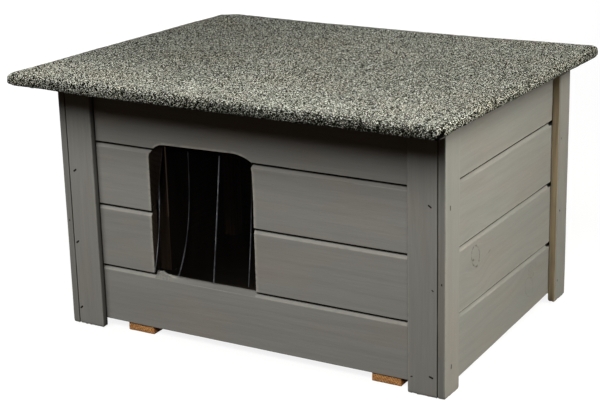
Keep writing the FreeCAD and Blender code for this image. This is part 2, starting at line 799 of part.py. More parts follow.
# screws through the clamp bar and the curtain's band into the top board
screw = fastener(size("screw_head"), size("screw_head_high"), size("screw_shank"), 22.0)
spots = []
for k in range(5):
    x = size("strip_first") + size("strip_pitch") * (k + 0.5)
    spots.append(((x, strip_y1.val + size("clamp_thick"),
                   (size("clamp_bottom") + size("clamp_top")) / 2), (0, 1, 0)))
group("curtain_screws", screw, spots)

# screws up through the lid battens into the panel, with those of the lid's hinge leaves
screw = fastener(size("screw_head"), size("screw_head_high"), size("screw_shank"), 22.0)
spots = []
for yc in (size("lid_batten_front_y"), size("lid_batten_rear_y")):
    for x in (-180.0, 0.0, 180.0):
        spots.append(((x, yc - hinge_y.val, size("hinge_off") - size("lid_batten_thick")),
                      (0, 0, -1)))
group("lid_screws", screw, spots, lid_place, more=[lid_hinge_screws])

# clout nails through the felt's return into the panel
nail = fastener(size("clout_head"), size("clout_head_high"), size("clout_shank"),
                size("clout_long"))
spots = []
zf = size("hinge_off") - size("felt_thick")
inset = size("felt_return") / 2 + 1.0
xs = size("roof_width") / 2 - inset
y0, y1 = lid_front.val + inset, lid_rear.val - inset
for i in range(6):
    x = -xs + 30.0 + (2 * xs - 60.0) * i / 5
    spots.append(((x, y0, zf), (0, 0, -1)))
    spots.append(((x, y1, zf), (0, 0, -1)))
for i in range(4):
    y = y0 + 60.0 + (y1 - y0 - 120.0) * i / 3
    spots.append(((-xs, y, zf), (0, 0, -1)))
    spots.append(((xs, y, zf), (0, 0, -1)))
group("felt_nails", nail, spots, lid_place)

# ----------------------------------------------------------- check and write
doc.recompute()
bad = []
for obj in doc.Objects:
    if "Invalid" in obj.State or "Error" in obj.State:
        bad.append(obj.Name + " " + ",".join(obj.State))
for label, obj in PARTS:
    shp = obj.Shape
    if shp.isNull() or not shp.isValid() or shp.Volume < 1.0:
        bad.append("shape " + label)
if len({label for label, _ in PARTS}) != len(PARTS):
    bad.append("two parts share a label")
if bad:
    raise RuntimeError("failed: " + "; ".join(bad))

os.makedirs("parts", exist_ok=True)
box = FreeCAD.BoundBox()
for label, obj in PARTS:
    obj.Shape.exportStep("parts/%s.step" % label)
    box.add(obj.Shape.BoundBox)
    print("%-26s %2d solid(s) %12.1f mm3" % (label, len(obj.Shape.Solids), obj.Shape.Volume))
print(len(PARTS), "parts", box)
print("hinge axis y %.4f z %.4f" % (hinge_y.val, hinge_z.val))
print("strip axis y %.4f z %.4f" % ((strip_y0.val + strip_y1.val) / 2, size("strip_pivot")))
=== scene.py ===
import bpy, math
import numpy as np
from mathutils import Matrix, Vector


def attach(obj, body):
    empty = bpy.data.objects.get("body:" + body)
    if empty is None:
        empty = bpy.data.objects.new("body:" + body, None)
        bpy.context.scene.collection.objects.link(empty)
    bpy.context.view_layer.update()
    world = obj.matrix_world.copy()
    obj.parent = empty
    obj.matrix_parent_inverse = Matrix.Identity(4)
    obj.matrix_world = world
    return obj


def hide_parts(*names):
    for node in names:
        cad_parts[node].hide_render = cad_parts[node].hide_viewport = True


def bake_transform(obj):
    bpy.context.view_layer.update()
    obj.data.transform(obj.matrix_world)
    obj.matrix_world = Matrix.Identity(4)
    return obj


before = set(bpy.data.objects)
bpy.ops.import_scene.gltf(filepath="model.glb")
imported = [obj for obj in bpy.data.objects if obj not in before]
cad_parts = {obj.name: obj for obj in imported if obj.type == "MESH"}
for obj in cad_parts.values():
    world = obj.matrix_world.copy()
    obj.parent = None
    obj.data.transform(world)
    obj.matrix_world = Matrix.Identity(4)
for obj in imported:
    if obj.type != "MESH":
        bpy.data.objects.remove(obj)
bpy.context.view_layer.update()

scene = bpy.context.scene
scene.view_settings.view_transform = "Standard"
MM = 0.001

# ---------------------------------------------------------------- main sizes
# millimetres, the same frame as the construction
FRONT, BACK, SIDE = -194.2, 224.8, 300.0      # trim faces
WF, WB, WS = -183.2, 213.8, 289.0             # wall faces
THICK = 14.0
EDGE = [12.5, 96.4, 188.4, 280.4]             # lower edges of the boards
SILL = 93.4
DOOR_L, DOOR_R = -158.0, 10.3
HINGE_Y, HINGE_Z = 228.2, 358.7893
TILT = -math.atan(11.8 / 537.4)


def wall_top(y):
    return 370.9 + 2.2 - (11.8 / 537.4) * (y + 268.7) - 0.6


# ------------------------------------------------------------- smooth noise
def vnoise(p, seed=0):
    """Smooth lattice noise in -1..1 at the points p (n, 3)."""
    p = np.asarray(p, float)
    i = np.floor(p).astype(np.int64)
    f = p - i
    u = f * f * f * (f * (f * 6 - 15) + 10)
    out = np.zeros(len(p))
    for dx in (0, 1):
        for dy in (0, 1):
            for dz in (0, 1):
                n = ((i[:, 0] + dx) * 73856093) ^ ((i[:, 1] + dy) * 19349663) \
                    ^ ((i[:, 2] + dz) * 83492791) ^ (seed * 374761393 + 668265263)
                n = n & 0xFFFFFFFF
                for _ in range(2):
                    n = ((n ^ (n >> 16)) * 0x45D9F3B) & 0xFFFFFFFF
                n = n ^ (n >> 16)
                w = (u[:, 0] if dx else 1 - u[:, 0]) * (u[:, 1] if dy else 1 - u[:, 1]) \
                    * (u[:, 2] if dz else 1 - u[:, 2])
                out += w * (n / 2147483647.5 - 1.0)
    return out


def fbm(p, seed=0, octaves=3):
    p = np.asarray(p, float)
    total, amp, norm = np.zeros(len(p)), 1.0, 0.0
    for k in range(octaves):
        total += amp * vnoise(p * (2.03 ** k) + 11.7 * k, seed + 17 * k)
        norm += amp
        amp *= 0.5
    return total / norm


def smooth(a, b, x):
    t = np.clip((np.asarray(x, float) - a) / (b - a), 0, 1)
    return t * t * (3 - 2 * t)


# ------------------------------------------------------------- mesh helpers
def piece(name, verts, faces, corner=None, mats=(), face_mat=None, angle=38.0, body="house",
          replaces=(), ride=True):
    """Mesh object from points in millimetres. corner: values per face corner, in face order."""
    v = np.asarray(verts, float) * MM
    c = v - v.mean(0)
    vol = 0.0
    for f in faces:
        a = c[f[0]]
        for k in range(1, len(f) - 1):
            vol += float(np.dot(a, np.cross(c[f[k]], c[f[k + 1]])))
    corner = {k: np.asarray(x, float) for k, x in (corner or {}).items()}
    if vol < 0:
        flat, start = [], 0
        for f in faces:
            flat += list(range(start + len(f) - 1, start - 1, -1))
            start += len(f)
        corner = {k: x[flat] for k, x in corner.items()}
        faces = [tuple(reversed(f)) for f in faces]
    me = bpy.data.meshes.new(name)
    me.from_pydata(v.tolist(), [], [tuple(int(x) for x in f) for f in faces])
    for k, x in corner.items():
        me.attributes.new(k, "FLOAT", "CORNER").data.foreach_set("value", x.astype(np.float32))
    for m in mats:
        me.materials.append(m)
    if face_mat is not None:
        me.polygons.foreach_set("material_index", np.asarray(face_mat, np.int32))
    me.polygons.foreach_set("use_smooth", np.ones(len(me.polygons), bool))
    me.set_sharp_from_angle(angle=math.radians(angle))
    me.update()
    ob = bpy.data.objects.new(name, me)
    scene.collection.objects.link(ob)
    if replaces:
        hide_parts(*replaces)
    if ride:
        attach(ob, body)
    return ob


def loft(rings, attrs, ends):
    """Skin over closed rings (n, m, 3), with flat end faces. attrs: (n, m) values; ends: end values."""
    n, m, _ = rings.shape
    idx = np.arange(n * m).reshape(n, m)
    faces, corner = [], {k: [] for k in attrs}
    for i in range(n - 1):
        for j in range(m):
            k = (j + 1) % m
            faces.append((idx[i, j], idx[i, k], idx[i + 1, k], idx[i + 1, j]))
            for name, a in attrs.items():
                corner[name] += [a[i, j], a[i, k], a[i + 1, k], a[i + 1, j]]
    for ring, row in ((idx[0][::-1], 0), (idx[-1], -1)):
        faces.append(tuple(ring))
        for name in attrs:
            corner[name] += [ends.get(name, (0.0, 0.0))[row]] * m
    return rings.reshape(-1, 3), faces, corner


def outline(corners, step=26.0, near=(1.3, 4.5), plan=None):
    """Closed outline from (a, b, radius, wear) corners: rounded arrises with loops beside them.
    Returns points (m, 2), wear (m) and the plan of loops, so that like outlines match point by point."""
    n = len(corners)
    arcs = []
    for i, (a, b, r, w) in enumerate(corners):
        p = np.array((a, b), float)
        if r <= 0:
            arcs.append([(p, w)])
            continue
        q0, q1 = np.array(corners[i - 1][:2], float), np.array(corners[(i + 1) % n][:2], float)
        l0, l1 = max(np.linalg.norm(q0 - p), 1e-9), max(np.linalg.norm(q1 - p), 1e-9)
        u, v = (q0 - p) / l0, (q1 - p) / l1
        half = 0.5 * math.acos(max(-0.999, min(0.999, float(u @ v))))
        t = min(r / math.tan(half), 0.45 * l0, 0.45 * l1)
        s, e = p + u * t, p + v * t
        arcs.append([((1 - k) ** 2 * s + 2 * k * (1 - k) * p + k * k * e, w)
                     for k in (0, 1 / 3, 2 / 3, 1)])
    pts, made = [], []
    for i in range(n):
        pts += arcs[i]
        (p0, w0), (p1, w1) = arcs[i][-1], arcs[(i + 1) % n][0]
        length = max(np.linalg.norm(p1 - p0), 1e-9)
        if plan is None:
            mid = -1
            if length > 2.2 * near[-1]:
                mid = max(0, int(math.ceil((length - 2 * near[-1]) / step)) - 1)
        else:
            mid = plan[i]
        made.append(mid)
        if mid < 0:
            continue
        k = min(1.0, length / (2.4 * near[-1]))
        a, b = near[0] * k / length, near[-1] * k / length
        cuts = [(a, w0 * 0.3), (b, 0.0)]
        cuts += [(b + (1 - 2 * b) * (j + 1) / (mid + 1), 0.0) for j in range(mid)]
        cuts += [(1 - b, 0.0), (1 - a, w1 * 0.3)]
        pts += [(p0 + (p1 - p0) * c, w) for c, w in cuts]
    return np.array([p for p, _ in pts]), np.array([w for _, w in pts]), made


def inset(pts, r):
    """The outline moved inwards by r."""
    nxt, prv = np.roll(pts, -1, 0), np.roll(pts, 1, 0)
    area = np.sum(pts[:, 0] * nxt[:, 1] - nxt[:, 0] * pts[:, 1])
    def unit(x):
        return x / np.maximum(np.linalg.norm(x, axis=1, keepdims=True), 1e-9)
    t0, t1 = unit(pts - prv), unit(nxt - pts)
    sgn = 1.0 if area > 0 else -1.0
    n0 = np.stack([-t0[:, 1], t0[:, 0]], 1) * sgn
    n1 = np.stack([-t1[:, 1], t1[:, 0]], 1) * sgn
    m = n0 + n1
    m = m / np.maximum((m * m).sum(1, keepdims=True), 0.6) * 2
    return pts + m * r


def wobble(rings, seed, amp=0.2, wave=55.0):
    """Small slow waviness, so that no edge is ruler straight."""
    p = rings.reshape(-1, 3)
    off = np.stack([vnoise(p / wave + 3.1 * k, seed * 5 + k) for k in range(3)], 1) * amp
    off += np.stack([vnoise(p / 9.0 + 7.7 * k, seed * 5 + k + 91) for k in range(3)], 1) * amp * 0.3
    return (p + off).reshape(rings.shape)


def spread(a, b, step, ends=(0.0, 0.35, 1.1), first=True, last=True):
    """Stations from a to b with close ones at the ends, and how far each end one is inset."""
    n = max(2, int(round((b - a) / step)))
    mid = list(np.linspace(a + 6, b - 6, n))
    lo = [(a, 1.1), (a + 0.35, 0.35), (a + 1.1, 0.0)] if first else [(a, 0.0)]
    hi = [(b - 1.1, 0.0), (b - 0.35, 0.35), (b, 1.1)] if last else [(b, 0.0)]
    return lo + [(u, 0.0) for u in mid] + hi


# ------------------------------------------------------------ node helpers
def tree(name):
    m = bpy.data.materials.new(name)
    m.use_nodes = True
    t = m.node_tree
    return m, t, t.nodes["Principled BSDF"]


def node(t, kind, inputs=None, **props):
    n = t.nodes.new(kind)
    for k, v in props.items():
        setattr(n, k, v)
    for k, v in (inputs or {}).items():
        if isinstance(v, bpy.types.NodeSocket):
            t.links.new(v, n.inputs[k])
        else:
            n.inputs[k].default_value = v
    return n


def calc(t, op, a, b=0.0, c=None, clamp=False):
    ins = {0: a, 1: b}
    if c is not None:
        ins[2] = c
    return node(t, "ShaderNodeMath", ins, operation=op, use_clamp=clamp).outputs[0]


def mix(t, fac, a, b, kind="MIX"):
    n = node(t, "ShaderNodeMix", data_type="RGBA", blend_type=kind)
    for i, v in ((0, fac), (6, a), (7, b)):
        if isinstance(v, bpy.types.NodeSocket):
            t.links.new(v, n.inputs[i])
        else:
            n.inputs[i].default_value = v
    return n.outputs[2]


def ramp(t, fac, stops, interpolation="LINEAR"):
    n = node(t, "ShaderNodeValToRGB", {0: fac})
    e = n.color_ramp.elements
    n.color_ramp.interpolation = interpolation
    while len(e) < len(stops):
        e.new(0.5)
    for el, (pos, col) in zip(e, stops):
        el.position = pos
        el.color = (*col, 1.0)
    return n.outputs[0]


def attr(t, name):
    return node(t, "ShaderNodeAttribute", attribute_name=name, attribute_type="GEOMETRY").outputs["Fac"]


def combine(t, x, y, z):
    return node(t, "ShaderNodeCombineXYZ", {0: x, 1: y, 2: z}).outputs[0]


def noise(t, vec, scale=1.0, detail=2.0, rough=0.5, distort=0.0):
    return node(t, "ShaderNodeTexNoise", {"Vector": vec, "Scale": scale, "Detail": detail,
                                          "Roughness": rough, "Distortion": distort}).outputs[0]


def bump(t, height, strength, distance, normal=None):
    ins = {"Height": height, "Strength": strength, "Distance": distance}
    if normal is not None:
        ins["Normal"] = normal
    return node(t, "ShaderNodeBump", ins).outputs[0]


def step(t, x, lo, hi):
    return node(t, "ShaderNodeMapRange", {0: x, 1: lo, 2: hi, 3: 0.0, 4: 1.0},
                interpolation_type="SMOOTHSTEP").outputs[0]


def grain_axes(t, axis, seeded=True):
    """(along, across, through) in metres."""
    xyz = node(t, "ShaderNodeSeparateXYZ",
               {0: node(t, "ShaderNodeTexCoord").outputs["Object"]}).outputs
    order = {"x": (0, 2, 1), "y": (1, 2, 0), "z": (2, 0, 1)}[axis]
    u, v, w = (xyz[i] for i in order)
    return u, v, w


def seed_shift(t):
    s = attr(t, "seed")
    return combine(t, calc(t, "MULTIPLY", s, 3.71), calc(t, "MULTIPLY", s, 7.93),
                   calc(t, "MULTIPLY", s, 5.17))


def stretched(t, axes, along, across, shift):
    u, v, w = axes
    vec = combine(t, calc(t, "MULTIPLY", u, along), calc(t, "MULTIPLY", v, across),
                  calc(t, "MULTIPLY", w, across))
    return node(t, "ShaderNodeVectorMath", {0: vec, 1: shift}, operation="ADD").outputs[0]


# --------------------------------------------------------------- materials
def pine(t, axes, shift, dark, mid, light):
    """Bare softwood: growth lines, fibres and slow colour change. Returns colour and height."""
    u, v, w = axes
    warp = noise(t, stretched(t, axes, 3.0, 14.0, shift), 1.0, 2.0)
    lines = calc(t, "SINE", calc(t, "ADD", calc(t, "MULTIPLY", calc(t, "ADD", v, w), 760.0),
                                 calc(t, "MULTIPLY", warp, 22.0)))
    fibre = noise(t, stretched(t, axes, 22.0, 900.0, shift), 1.0, 3.0, 0.6)
    slow = noise(t, stretched(t, axes, 4.0, 26.0, shift), 1.0, 2.0)
    f = calc(t, "ADD", calc(t, "MULTIPLY", lines, 0.06), calc(t, "MULTIPLY", fibre, 0.5))
    f = calc(t, "ADD", f, calc(t, "MULTIPLY", slow, 0.5))
    return ramp(t, f, [(0.25, dark), (0.5, mid), (0.75, light)]), f


DARK_WOOD = ((0.015, 0.0095, 0.006), (0.032, 0.021, 0.0135), (0.058, 0.040, 0.026))


def painted(name, axis, base, knots=(), bare=DARK_WOOD, grain=1.0):
    """Thin grey stain on softwood: the grain shows through, arrises are worn paler, joints hold dirt and painted
    shade, and cut faces marked bare show the wood.
    knots: (along, across, half length, half width, skew, ring, heart)."""
    m, t, b = tree(name)
    u, v, w = grain_axes(t, axis)
    shift = seed_shift(t)
    line_v = v
    rings = None
    uneven = noise(t, combine(t, calc(t, "MULTIPLY", u, 95.0), calc(t, "MULTIPLY", v, 95.0), 0.0),
                   1.0, 3.0)
    broken = noise(t, combine(t, calc(t, "MULTIPLY", u, 210.0), calc(t, "MULTIPLY", v, 210.0), 4.0),
                   1.0, 2.0)
    for cu, cv, ru, rv, skew, ring, heart in knots:
        along = calc(t, "SUBTRACT", u, cu)
        across = calc(t, "ADD", calc(t, "SUBTRACT", v, cv), calc(t, "MULTIPLY", along, skew))
        du, dv = calc(t, "DIVIDE", along, ru), calc(t, "DIVIDE", across, rv)
        d = calc(t, "SQRT", calc(t, "ADD", calc(t, "MULTIPLY", du, du), calc(t, "MULTIPLY", dv, dv)))
        near = calc(t, "EXPONENT", calc(t, "MULTIPLY", calc(t, "MULTIPLY", d, d), -0.16))
        line_v = calc(t, "SUBTRACT", line_v, calc(t, "MULTIPLY", calc(
            t, "MULTIPLY", calc(t, "SUBTRACT", v, cv), near), 0.72))
        dd = calc(t, "ADD", d, calc(t, "MULTIPLY", calc(t, "SUBTRACT", uneven, 0.5), 0.45))
        mark = None
        if ring:
            off = calc(t, "ABSOLUTE", calc(t, "SUBTRACT", dd, 1.0))
            line = calc(t, "SUBTRACT", 1.0, step(t, off, 0.02, 0.0014 / min(ru, rv)))
            line = calc(t, "MULTIPLY", line, step(t, broken, 0.34, 0.56))
            mark = calc(t, "MULTIPLY", line, ring)
        if heart:
            full = calc(t, "MULTIPLY", calc(t, "SUBTRACT", 1.0, step(t, dd, 0.7, 1.05)), heart)
            mark = full if mark is None else calc(t, "MAXIMUM", mark, full)
        rings = mark if rings is None else calc(t, "MAXIMUM", rings, mark)
    axes = (u, line_v, w)
    slow = noise(t, stretched(t, (u, v, w), 2.6, 11.0, shift), 1.0, 3.0, 0.55)
    streak = noise(t, stretched(t, axes, 5.0, 260.0, shift), 1.0, 4.0, 0.62)
    fibre = noise(t, stretched(t, axes, 34.0, 1150.0, shift), 1.0, 2.0, 0.6)
    warp = noise(t, stretched(t, axes, 2.4, 13.0, shift), 1.0, 2.5)
    figure = calc(t, "SINE", calc(t, "ADD", calc(t, "MULTIPLY", line_v, 330.0),
                                  calc(t, "MULTIPLY", warp, 34.0)))
    figure = calc(t, "POWER", calc(t, "ADD", calc(t, "MULTIPLY", figure, 0.5), 0.5), 3.0)
    f = calc(t, "ADD", 0.5, calc(t, "MULTIPLY", calc(t, "SUBTRACT", streak, 0.5), 0.32 * grain))
    f = calc(t, "ADD", f, calc(t, "MULTIPLY", calc(t, "SUBTRACT", slow, 0.5), 0.30 * grain))
    f = calc(t, "ADD", f, calc(t, "MULTIPLY", calc(t, "SUBTRACT", fibre, 0.5), 0.24))
    f = calc(t, "SUBTRACT", f, calc(t, "MULTIPLY", figure, 0.045 * grain))
    # tone: the piece's own tone, lowered where the marks paint shade on bevels, the sill and trim sides
    f = calc(t, "ADD", f, calc(t, "MULTIPLY", attr(t, "tone"), 0.12))
    col = ramp(t, f, [(0.05, tuple(x * 0.62 for x in base)), (0.5, base),
                      (0.95, tuple(min(1, x * 1.42) for x in base))])
    # a little brown where the stain is thin, a little green where it is thick
    hue = noise(t, stretched(t, (u, v, w), 7.0, 22.0, shift), 1.0, 2.0)
    col = mix(t, 1.0, col, ramp(t, hue, [(0.3, (0.985, 1.01, 1.0)), (0.5, (1.0, 1.0, 1.0)),
                                        (0.72, (1.03, 0.985, 0.955))]), "MULTIPLY")
    if rings is not None:
        col = mix(t, rings, col, (base[0] * 0.30, base[1] * 0.27, base[2] * 0.22, 1))
    # worn arrises
    patch = noise(t, stretched(t, (u, v, w), 90.0, 160.0, shift), 1.0, 3.0, 0.6)
    edge = attr(t, "edge")
    worn = calc(t, "MULTIPLY", calc(t, "MULTIPLY", edge, edge), step(t, patch, 0.26, 0.56), clamp=True)
    col = mix(t, calc(t, "MULTIPLY", worn, 0.85), col,
              (base[0] * 1.75, base[1] * 1.72, base[2] * 1.62, 1))
    # tiny dark pits where the stain stayed in the pores
    pits = node(t, "ShaderNodeTexVoronoi", {"Vector": stretched(t, (u, v, w), 60.0, 240.0, shift),
                                            "Scale": 1.0}, feature="F1").outputs["Distance"]
    pits = calc(t, "SUBTRACT", 1.0, step(t, pits, 0.05, 0.10))
    col = mix(t, calc(t, "MULTIPLY", pits, 0.22), col, (base[0] * 0.45, base[1] * 0.42, base[2] * 0.38, 1))
    wood, _ = pine(t, (u, v, w), shift, *bare)
    raw = attr(t, "bare")
    ragged = calc(t, "ADD", raw, calc(t, "MULTIPLY", calc(t, "SUBTRACT", patch, 0.5), 0.5))
    raw = calc(t, "MULTIPLY", step(t, ragged, 0.35, 0.6), step(t, raw, 0.02, 0.2))
    col = mix(t, raw, col, wood)
    # near black for dirt in seams and on bare trim faces, and for painted shade in grooves, notches, behind the sill
    # and in trim corners
    col = mix(t, calc(t, "MULTIPLY", attr(t, "grime"), 0.97), col, (0.0045, 0.004, 0.003, 1))
    t.links.new(col, b.inputs["Base Color"])
    rough = calc(t, "ADD", 0.60, calc(t, "MULTIPLY", streak, 0.22))
    t.links.new(calc(t, "ADD", rough, calc(t, "MULTIPLY", raw, 0.12)), b.inputs["Roughness"])
    b.inputs["Specular IOR Level"].default_value = 0.25
    high = calc(t, "ADD", calc(t, "MULTIPLY", streak, 0.6), calc(t, "MULTIPLY", fibre, 0.5))
    high = calc(t, "SUBTRACT", high, calc(t, "MULTIPLY", figure, 0.25))
    if rings is not None:
        high = calc(t, "SUBTRACT", high, calc(t, "MULTIPLY", rings, 0.5))
    t.links.new(bump(t, high, 0.28, 0.0006), b.inputs["Normal"])
    return m


def softwood(name, axis, dark, mid, light, rough=0.7):
    """Unpainted softwood for a part whose mesh carries no marks of its own."""
    m, t, b = tree(name)
    axes = grain_axes(t, axis)
    shift = combine(t, 1.7, 4.1, 2.3)
    col, f = pine(t, axes, shift, dark, mid, light)
    stain = noise(t, stretched(t, axes, 9.0, 30.0, shift), 1.0, 3.0, 0.6)
    col = mix(t, calc(t, "MULTIPLY", step(t, stain, 0.45, 0.75), 0.35), col,
              (dark[0] * 0.8, dark[1] * 0.8, dark[2] * 0.8, 1))
    t.links.new(col, b.inputs["Base Color"])
    t.links.new(calc(t, "ADD", rough, calc(t, "MULTIPLY", stain, 0.15)), b.inputs["Roughness"])
    t.links.new(bump(t, f, 0.35, 0.0006), b.inputs["Normal"])
    return m


def end_grain(name, axis, dark, mid, light, ends, glint=0.0):
    """Rough sawn batten, long grain on the sides and open pores on the sawn end. glint: a faint light of its own, a
    painted highlight glowing on an arris where light comes in by the door."""
    m, t, b = tree(name)
    axes = grain_axes(t, axis)
    shift = seed_shift(t)
    long_col, f = pine(t, axes, shift, dark, mid, light)
    u, v, w = axes
    flat = combine(t, calc(t, "MULTIPLY", w, 520.0), calc(t, "MULTIPLY", v, 520.0),
                   calc(t, "MULTIPLY", u, 90.0))
    pore = noise(t, flat, 1.0, 3.0, 0.65)
    ring = calc(t, "SINE", calc(t, "ADD", calc(t, "MULTIPLY", calc(t, "ADD", w, calc(
        t, "MULTIPLY", v, 0.8)), 1500.0), calc(t, "MULTIPLY", pore, 3.0)))
    k = calc(t, "ADD", calc(t, "MULTIPLY", pore, 1.25), calc(t, "MULTIPLY", ring, 0.10))
    end_col = ramp(t, k, list(zip((0.32, 0.52, 0.72, 0.92), ends)))
    raw = attr(t, "bare")
    col = mix(t, raw, long_col, end_col)
    stain = attr(t, "stain")
    # the glint is emission: the arris glows, a painted highlight
    if glint:
        b.inputs["Emission Color"].default_value = (0.98, 0.66, 0.46, 1)
        b.inputs["Emission Strength"].default_value = glint
    # darkened towards near black: on the studs a painted shade
    col = mix(t, stain, col, mix(t, pore, (0.006, 0.004, 0.003, 1), (0.020, 0.013, 0.009, 1)))
    t.links.new(col, b.inputs["Base Color"])
    t.links.new(calc(t, "ADD", 0.72, calc(t, "MULTIPLY", pore, 0.2)), b.inputs["Roughness"])
    t.links.new(bump(t, calc(t, "ADD", f, calc(t, "MULTIPLY", pore, 0.8)), 0.5, 0.0008),
                b.inputs["Normal"])
    return m


def mineral_felt(name):
    """Bitumen felt with a mineral face: grains of slate in black, grey and near white."""
    m, t, b = tree(name)
    obj = node(t, "ShaderNodeTexCoord").outputs["Object"]
    xyz = node(t, "ShaderNodeSeparateXYZ", {0: obj}).outputs
    laid = combine(t, xyz[0], calc(t, "MULTIPLY", xyz[1], 0.62), xyz[2])   # rolled out from front to rear
    cells = node(t, "ShaderNodeTexVoronoi", {"Vector": laid, "Scale": 1300.0, "Randomness": 1.0},
                 feature="F1")
    fine = node(t, "ShaderNodeTexVoronoi", {"Vector": laid, "Scale": 2100.0, "Randomness": 1.0},
                feature="F1")
    pick = node(t, "ShaderNodeSeparateColor", {0: cells.outputs["Color"]}).outputs
    pick2 = node(t, "ShaderNodeSeparateColor", {0: fine.outputs["Color"]}).outputs
    slow = noise(t, obj, 16.0, 4.0, 0.6)
    key = calc(t, "ADD", calc(t, "MULTIPLY", pick[0], 0.84), calc(t, "MULTIPLY", pick2[0], 0.16))
    key = calc(t, "ADD", key, calc(t, "MULTIPLY", calc(t, "SUBTRACT", slow, 0.5), 0.12))
    # down the nose fewer grains hold, so more of the bitumen shows; this darkening is partly painted shade on the
    # nose's underside
    key = calc(t, "SUBTRACT", key, calc(t, "MULTIPLY", attr(t, "under"), 0.125))
    col = ramp(t, key, [(0.28, (0.002, 0.002, 0.0015)), (0.48, (0.008, 0.0082, 0.006)),
                        (0.64, (0.040, 0.041, 0.031)), (0.725, (0.20, 0.204, 0.162)),
                        (0.78, (0.85, 0.87, 0.795))])
    # painted light and shade across the felt, multiplied into its colour
    shade = attr(t, "fade")
    col = mix(t, 1.0, col, combine(t, shade, shade, shade), "MULTIPLY")
    tint = ramp(t, pick[1], [(0.0, (0.93, 0.965, 1.0)), (0.5, (1.0, 1.0, 1.0)),
                             (1.0, (1.0, 0.96, 0.87))])
    col = mix(t, 1.0, col, tint, "MULTIPLY")
    hue = ramp(t, noise(t, obj, 9.0, 3.0, 0.6), [(0.35, (0.98, 1.0, 0.985)), (0.5, (1.0, 1.0, 1.0)),
                                                 (0.66, (1.015, 0.99, 0.95))])
    col = mix(t, 1.0, col, hue, "MULTIPLY")
    pitch = attr(t, "pitch")
    tar = noise(t, obj, 300.0, 3.0)
    black = ramp(t, tar, [(0.3, (0.0010, 0.0010, 0.0010)), (0.8, (0.0050, 0.0045, 0.0040))])
    col = mix(t, pitch, col, black)
    col = mix(t, attr(t, "pale"), col, mix(t, tar, (0.30, 0.29, 0.25, 1), (0.62, 0.60, 0.52, 1)))
    t.links.new(col, b.inputs["Base Color"])
    t.links.new(calc(t, "ADD", 0.72, calc(t, "MULTIPLY", pick[2], 0.25)), b.inputs["Roughness"])
    b.inputs["Specular IOR Level"].default_value = 0.0
    dome = calc(t, "SUBTRACT", 1.0, calc(t, "MULTIPLY", cells.outputs["Distance"], 1.3))
    dome2 = calc(t, "SUBTRACT", 1.0, fine.outputs["Distance"])
    high = calc(t, "ADD", dome, calc(t, "MULTIPLY", dome2, 0.5))
    t.links.new(bump(t, high, 0.75, 0.0009), b.inputs["Normal"])
    return m


def metal(name, base, rust, rough):
    m, t, b = tree(name)
    obj = node(t, "ShaderNodeTexCoord").outputs["Object"]
    a = noise(t, obj, 180.0, 4.0, 0.6)
    c = noise(t, obj, 900.0, 2.0)
    col = ramp(t, a, [(0.3, tuple(x * 0.72 for x in base)), (0.55, base),
                      (0.8, tuple(min(1, x * 1.2) for x in base))])
    spots = step(t, noise(t, obj, 420.0, 3.0, 0.7), 0.60, 0.74)
    col = mix(t, calc(t, "MULTIPLY", spots, 0.6), col, (*rust, 1))
    t.links.new(col, b.inputs["Base Color"])
    b.inputs["Metallic"].default_value = 0.9
    t.links.new(calc(t, "ADD", rough, calc(t, "MULTIPLY", a, 0.3)), b.inputs["Roughness"])
    t.links.new(bump(t, c, 0.15, 0.0002), b.inputs["Normal"])
    return m


def clear_sheet(name):
    """Soft clear PVC: almost invisible face on, with faint smears along its length."""
    m, t, b = tree(name)
    obj = node(t, "ShaderNodeTexCoord").outputs["Object"]
    xyz = node(t, "ShaderNodeSeparateXYZ", {0: obj}).outputs
    smear = noise(t, combine(t, calc(t, "MULTIPLY", xyz[0], 120.0), calc(t, "MULTIPLY", xyz[1], 40.0),
                             calc(t, "MULTIPLY", xyz[2], 9.0)), 1.0, 4.0, 0.65)
    dust = noise(t, obj, 1100.0, 2.0)
    speck = step(t, noise(t, obj, 520.0, 2.0, 0.7), 0.72, 0.80)
    col = ramp(t, smear, [(0.35, (0.0012, 0.0011, 0.0011)), (0.65, (0.0042, 0.0037, 0.0036))])
    col = mix(t, calc(t, "MULTIPLY", speck, 0.35), col, (0.10, 0.085, 0.075, 1))
    t.links.new(col, b.inputs["Base Color"])
    b.inputs["Specular IOR Level"].default_value = 0.35
    t.links.new(calc(t, "ADD", 0.16, calc(t, "MULTIPLY", smear, 0.10)), b.inputs["Alpha"])
    t.links.new(calc(t, "ADD", 0.08, calc(t, "MULTIPLY", step(t, smear, 0.45, 0.8), 0.18)),
                b.inputs["Roughness"])
    t.links.new(bump(t, calc(t, "ADD", smear, calc(t, "MULTIPLY", dust, 0.05)), 0.08, 0.001),
                b.inputs["Normal"])
    return m


def cut_edge(name):
    """The sheet's slit edge, pale and a little blue where light gathers in it."""
    m, t, b = tree(name)
    obj = node(t, "ShaderNodeTexCoord").outputs["Object"]
    a = noise(t, obj, 150.0, 3.0)
    col = ramp(t, a, [(0.3, (0.10, 0.104, 0.118)), (0.55, (0.19, 0.196, 0.22)), (0.75, (0.36, 0.37, 0.41))])
    col = mix(t, attr(t, "lit"), (0.004, 0.004, 0.0045, 1), col)
    t.links.new(col, b.inputs["Base Color"])
    t.links.new(calc(t, "ADD", 0.25, calc(t, "MULTIPLY", a, 0.3)), b.inputs["Roughness"])
    t.links.new(bump(t, noise(t, obj, 700.0, 2.0), 0.2, 0.0003), b.inputs["Normal"])
    return m


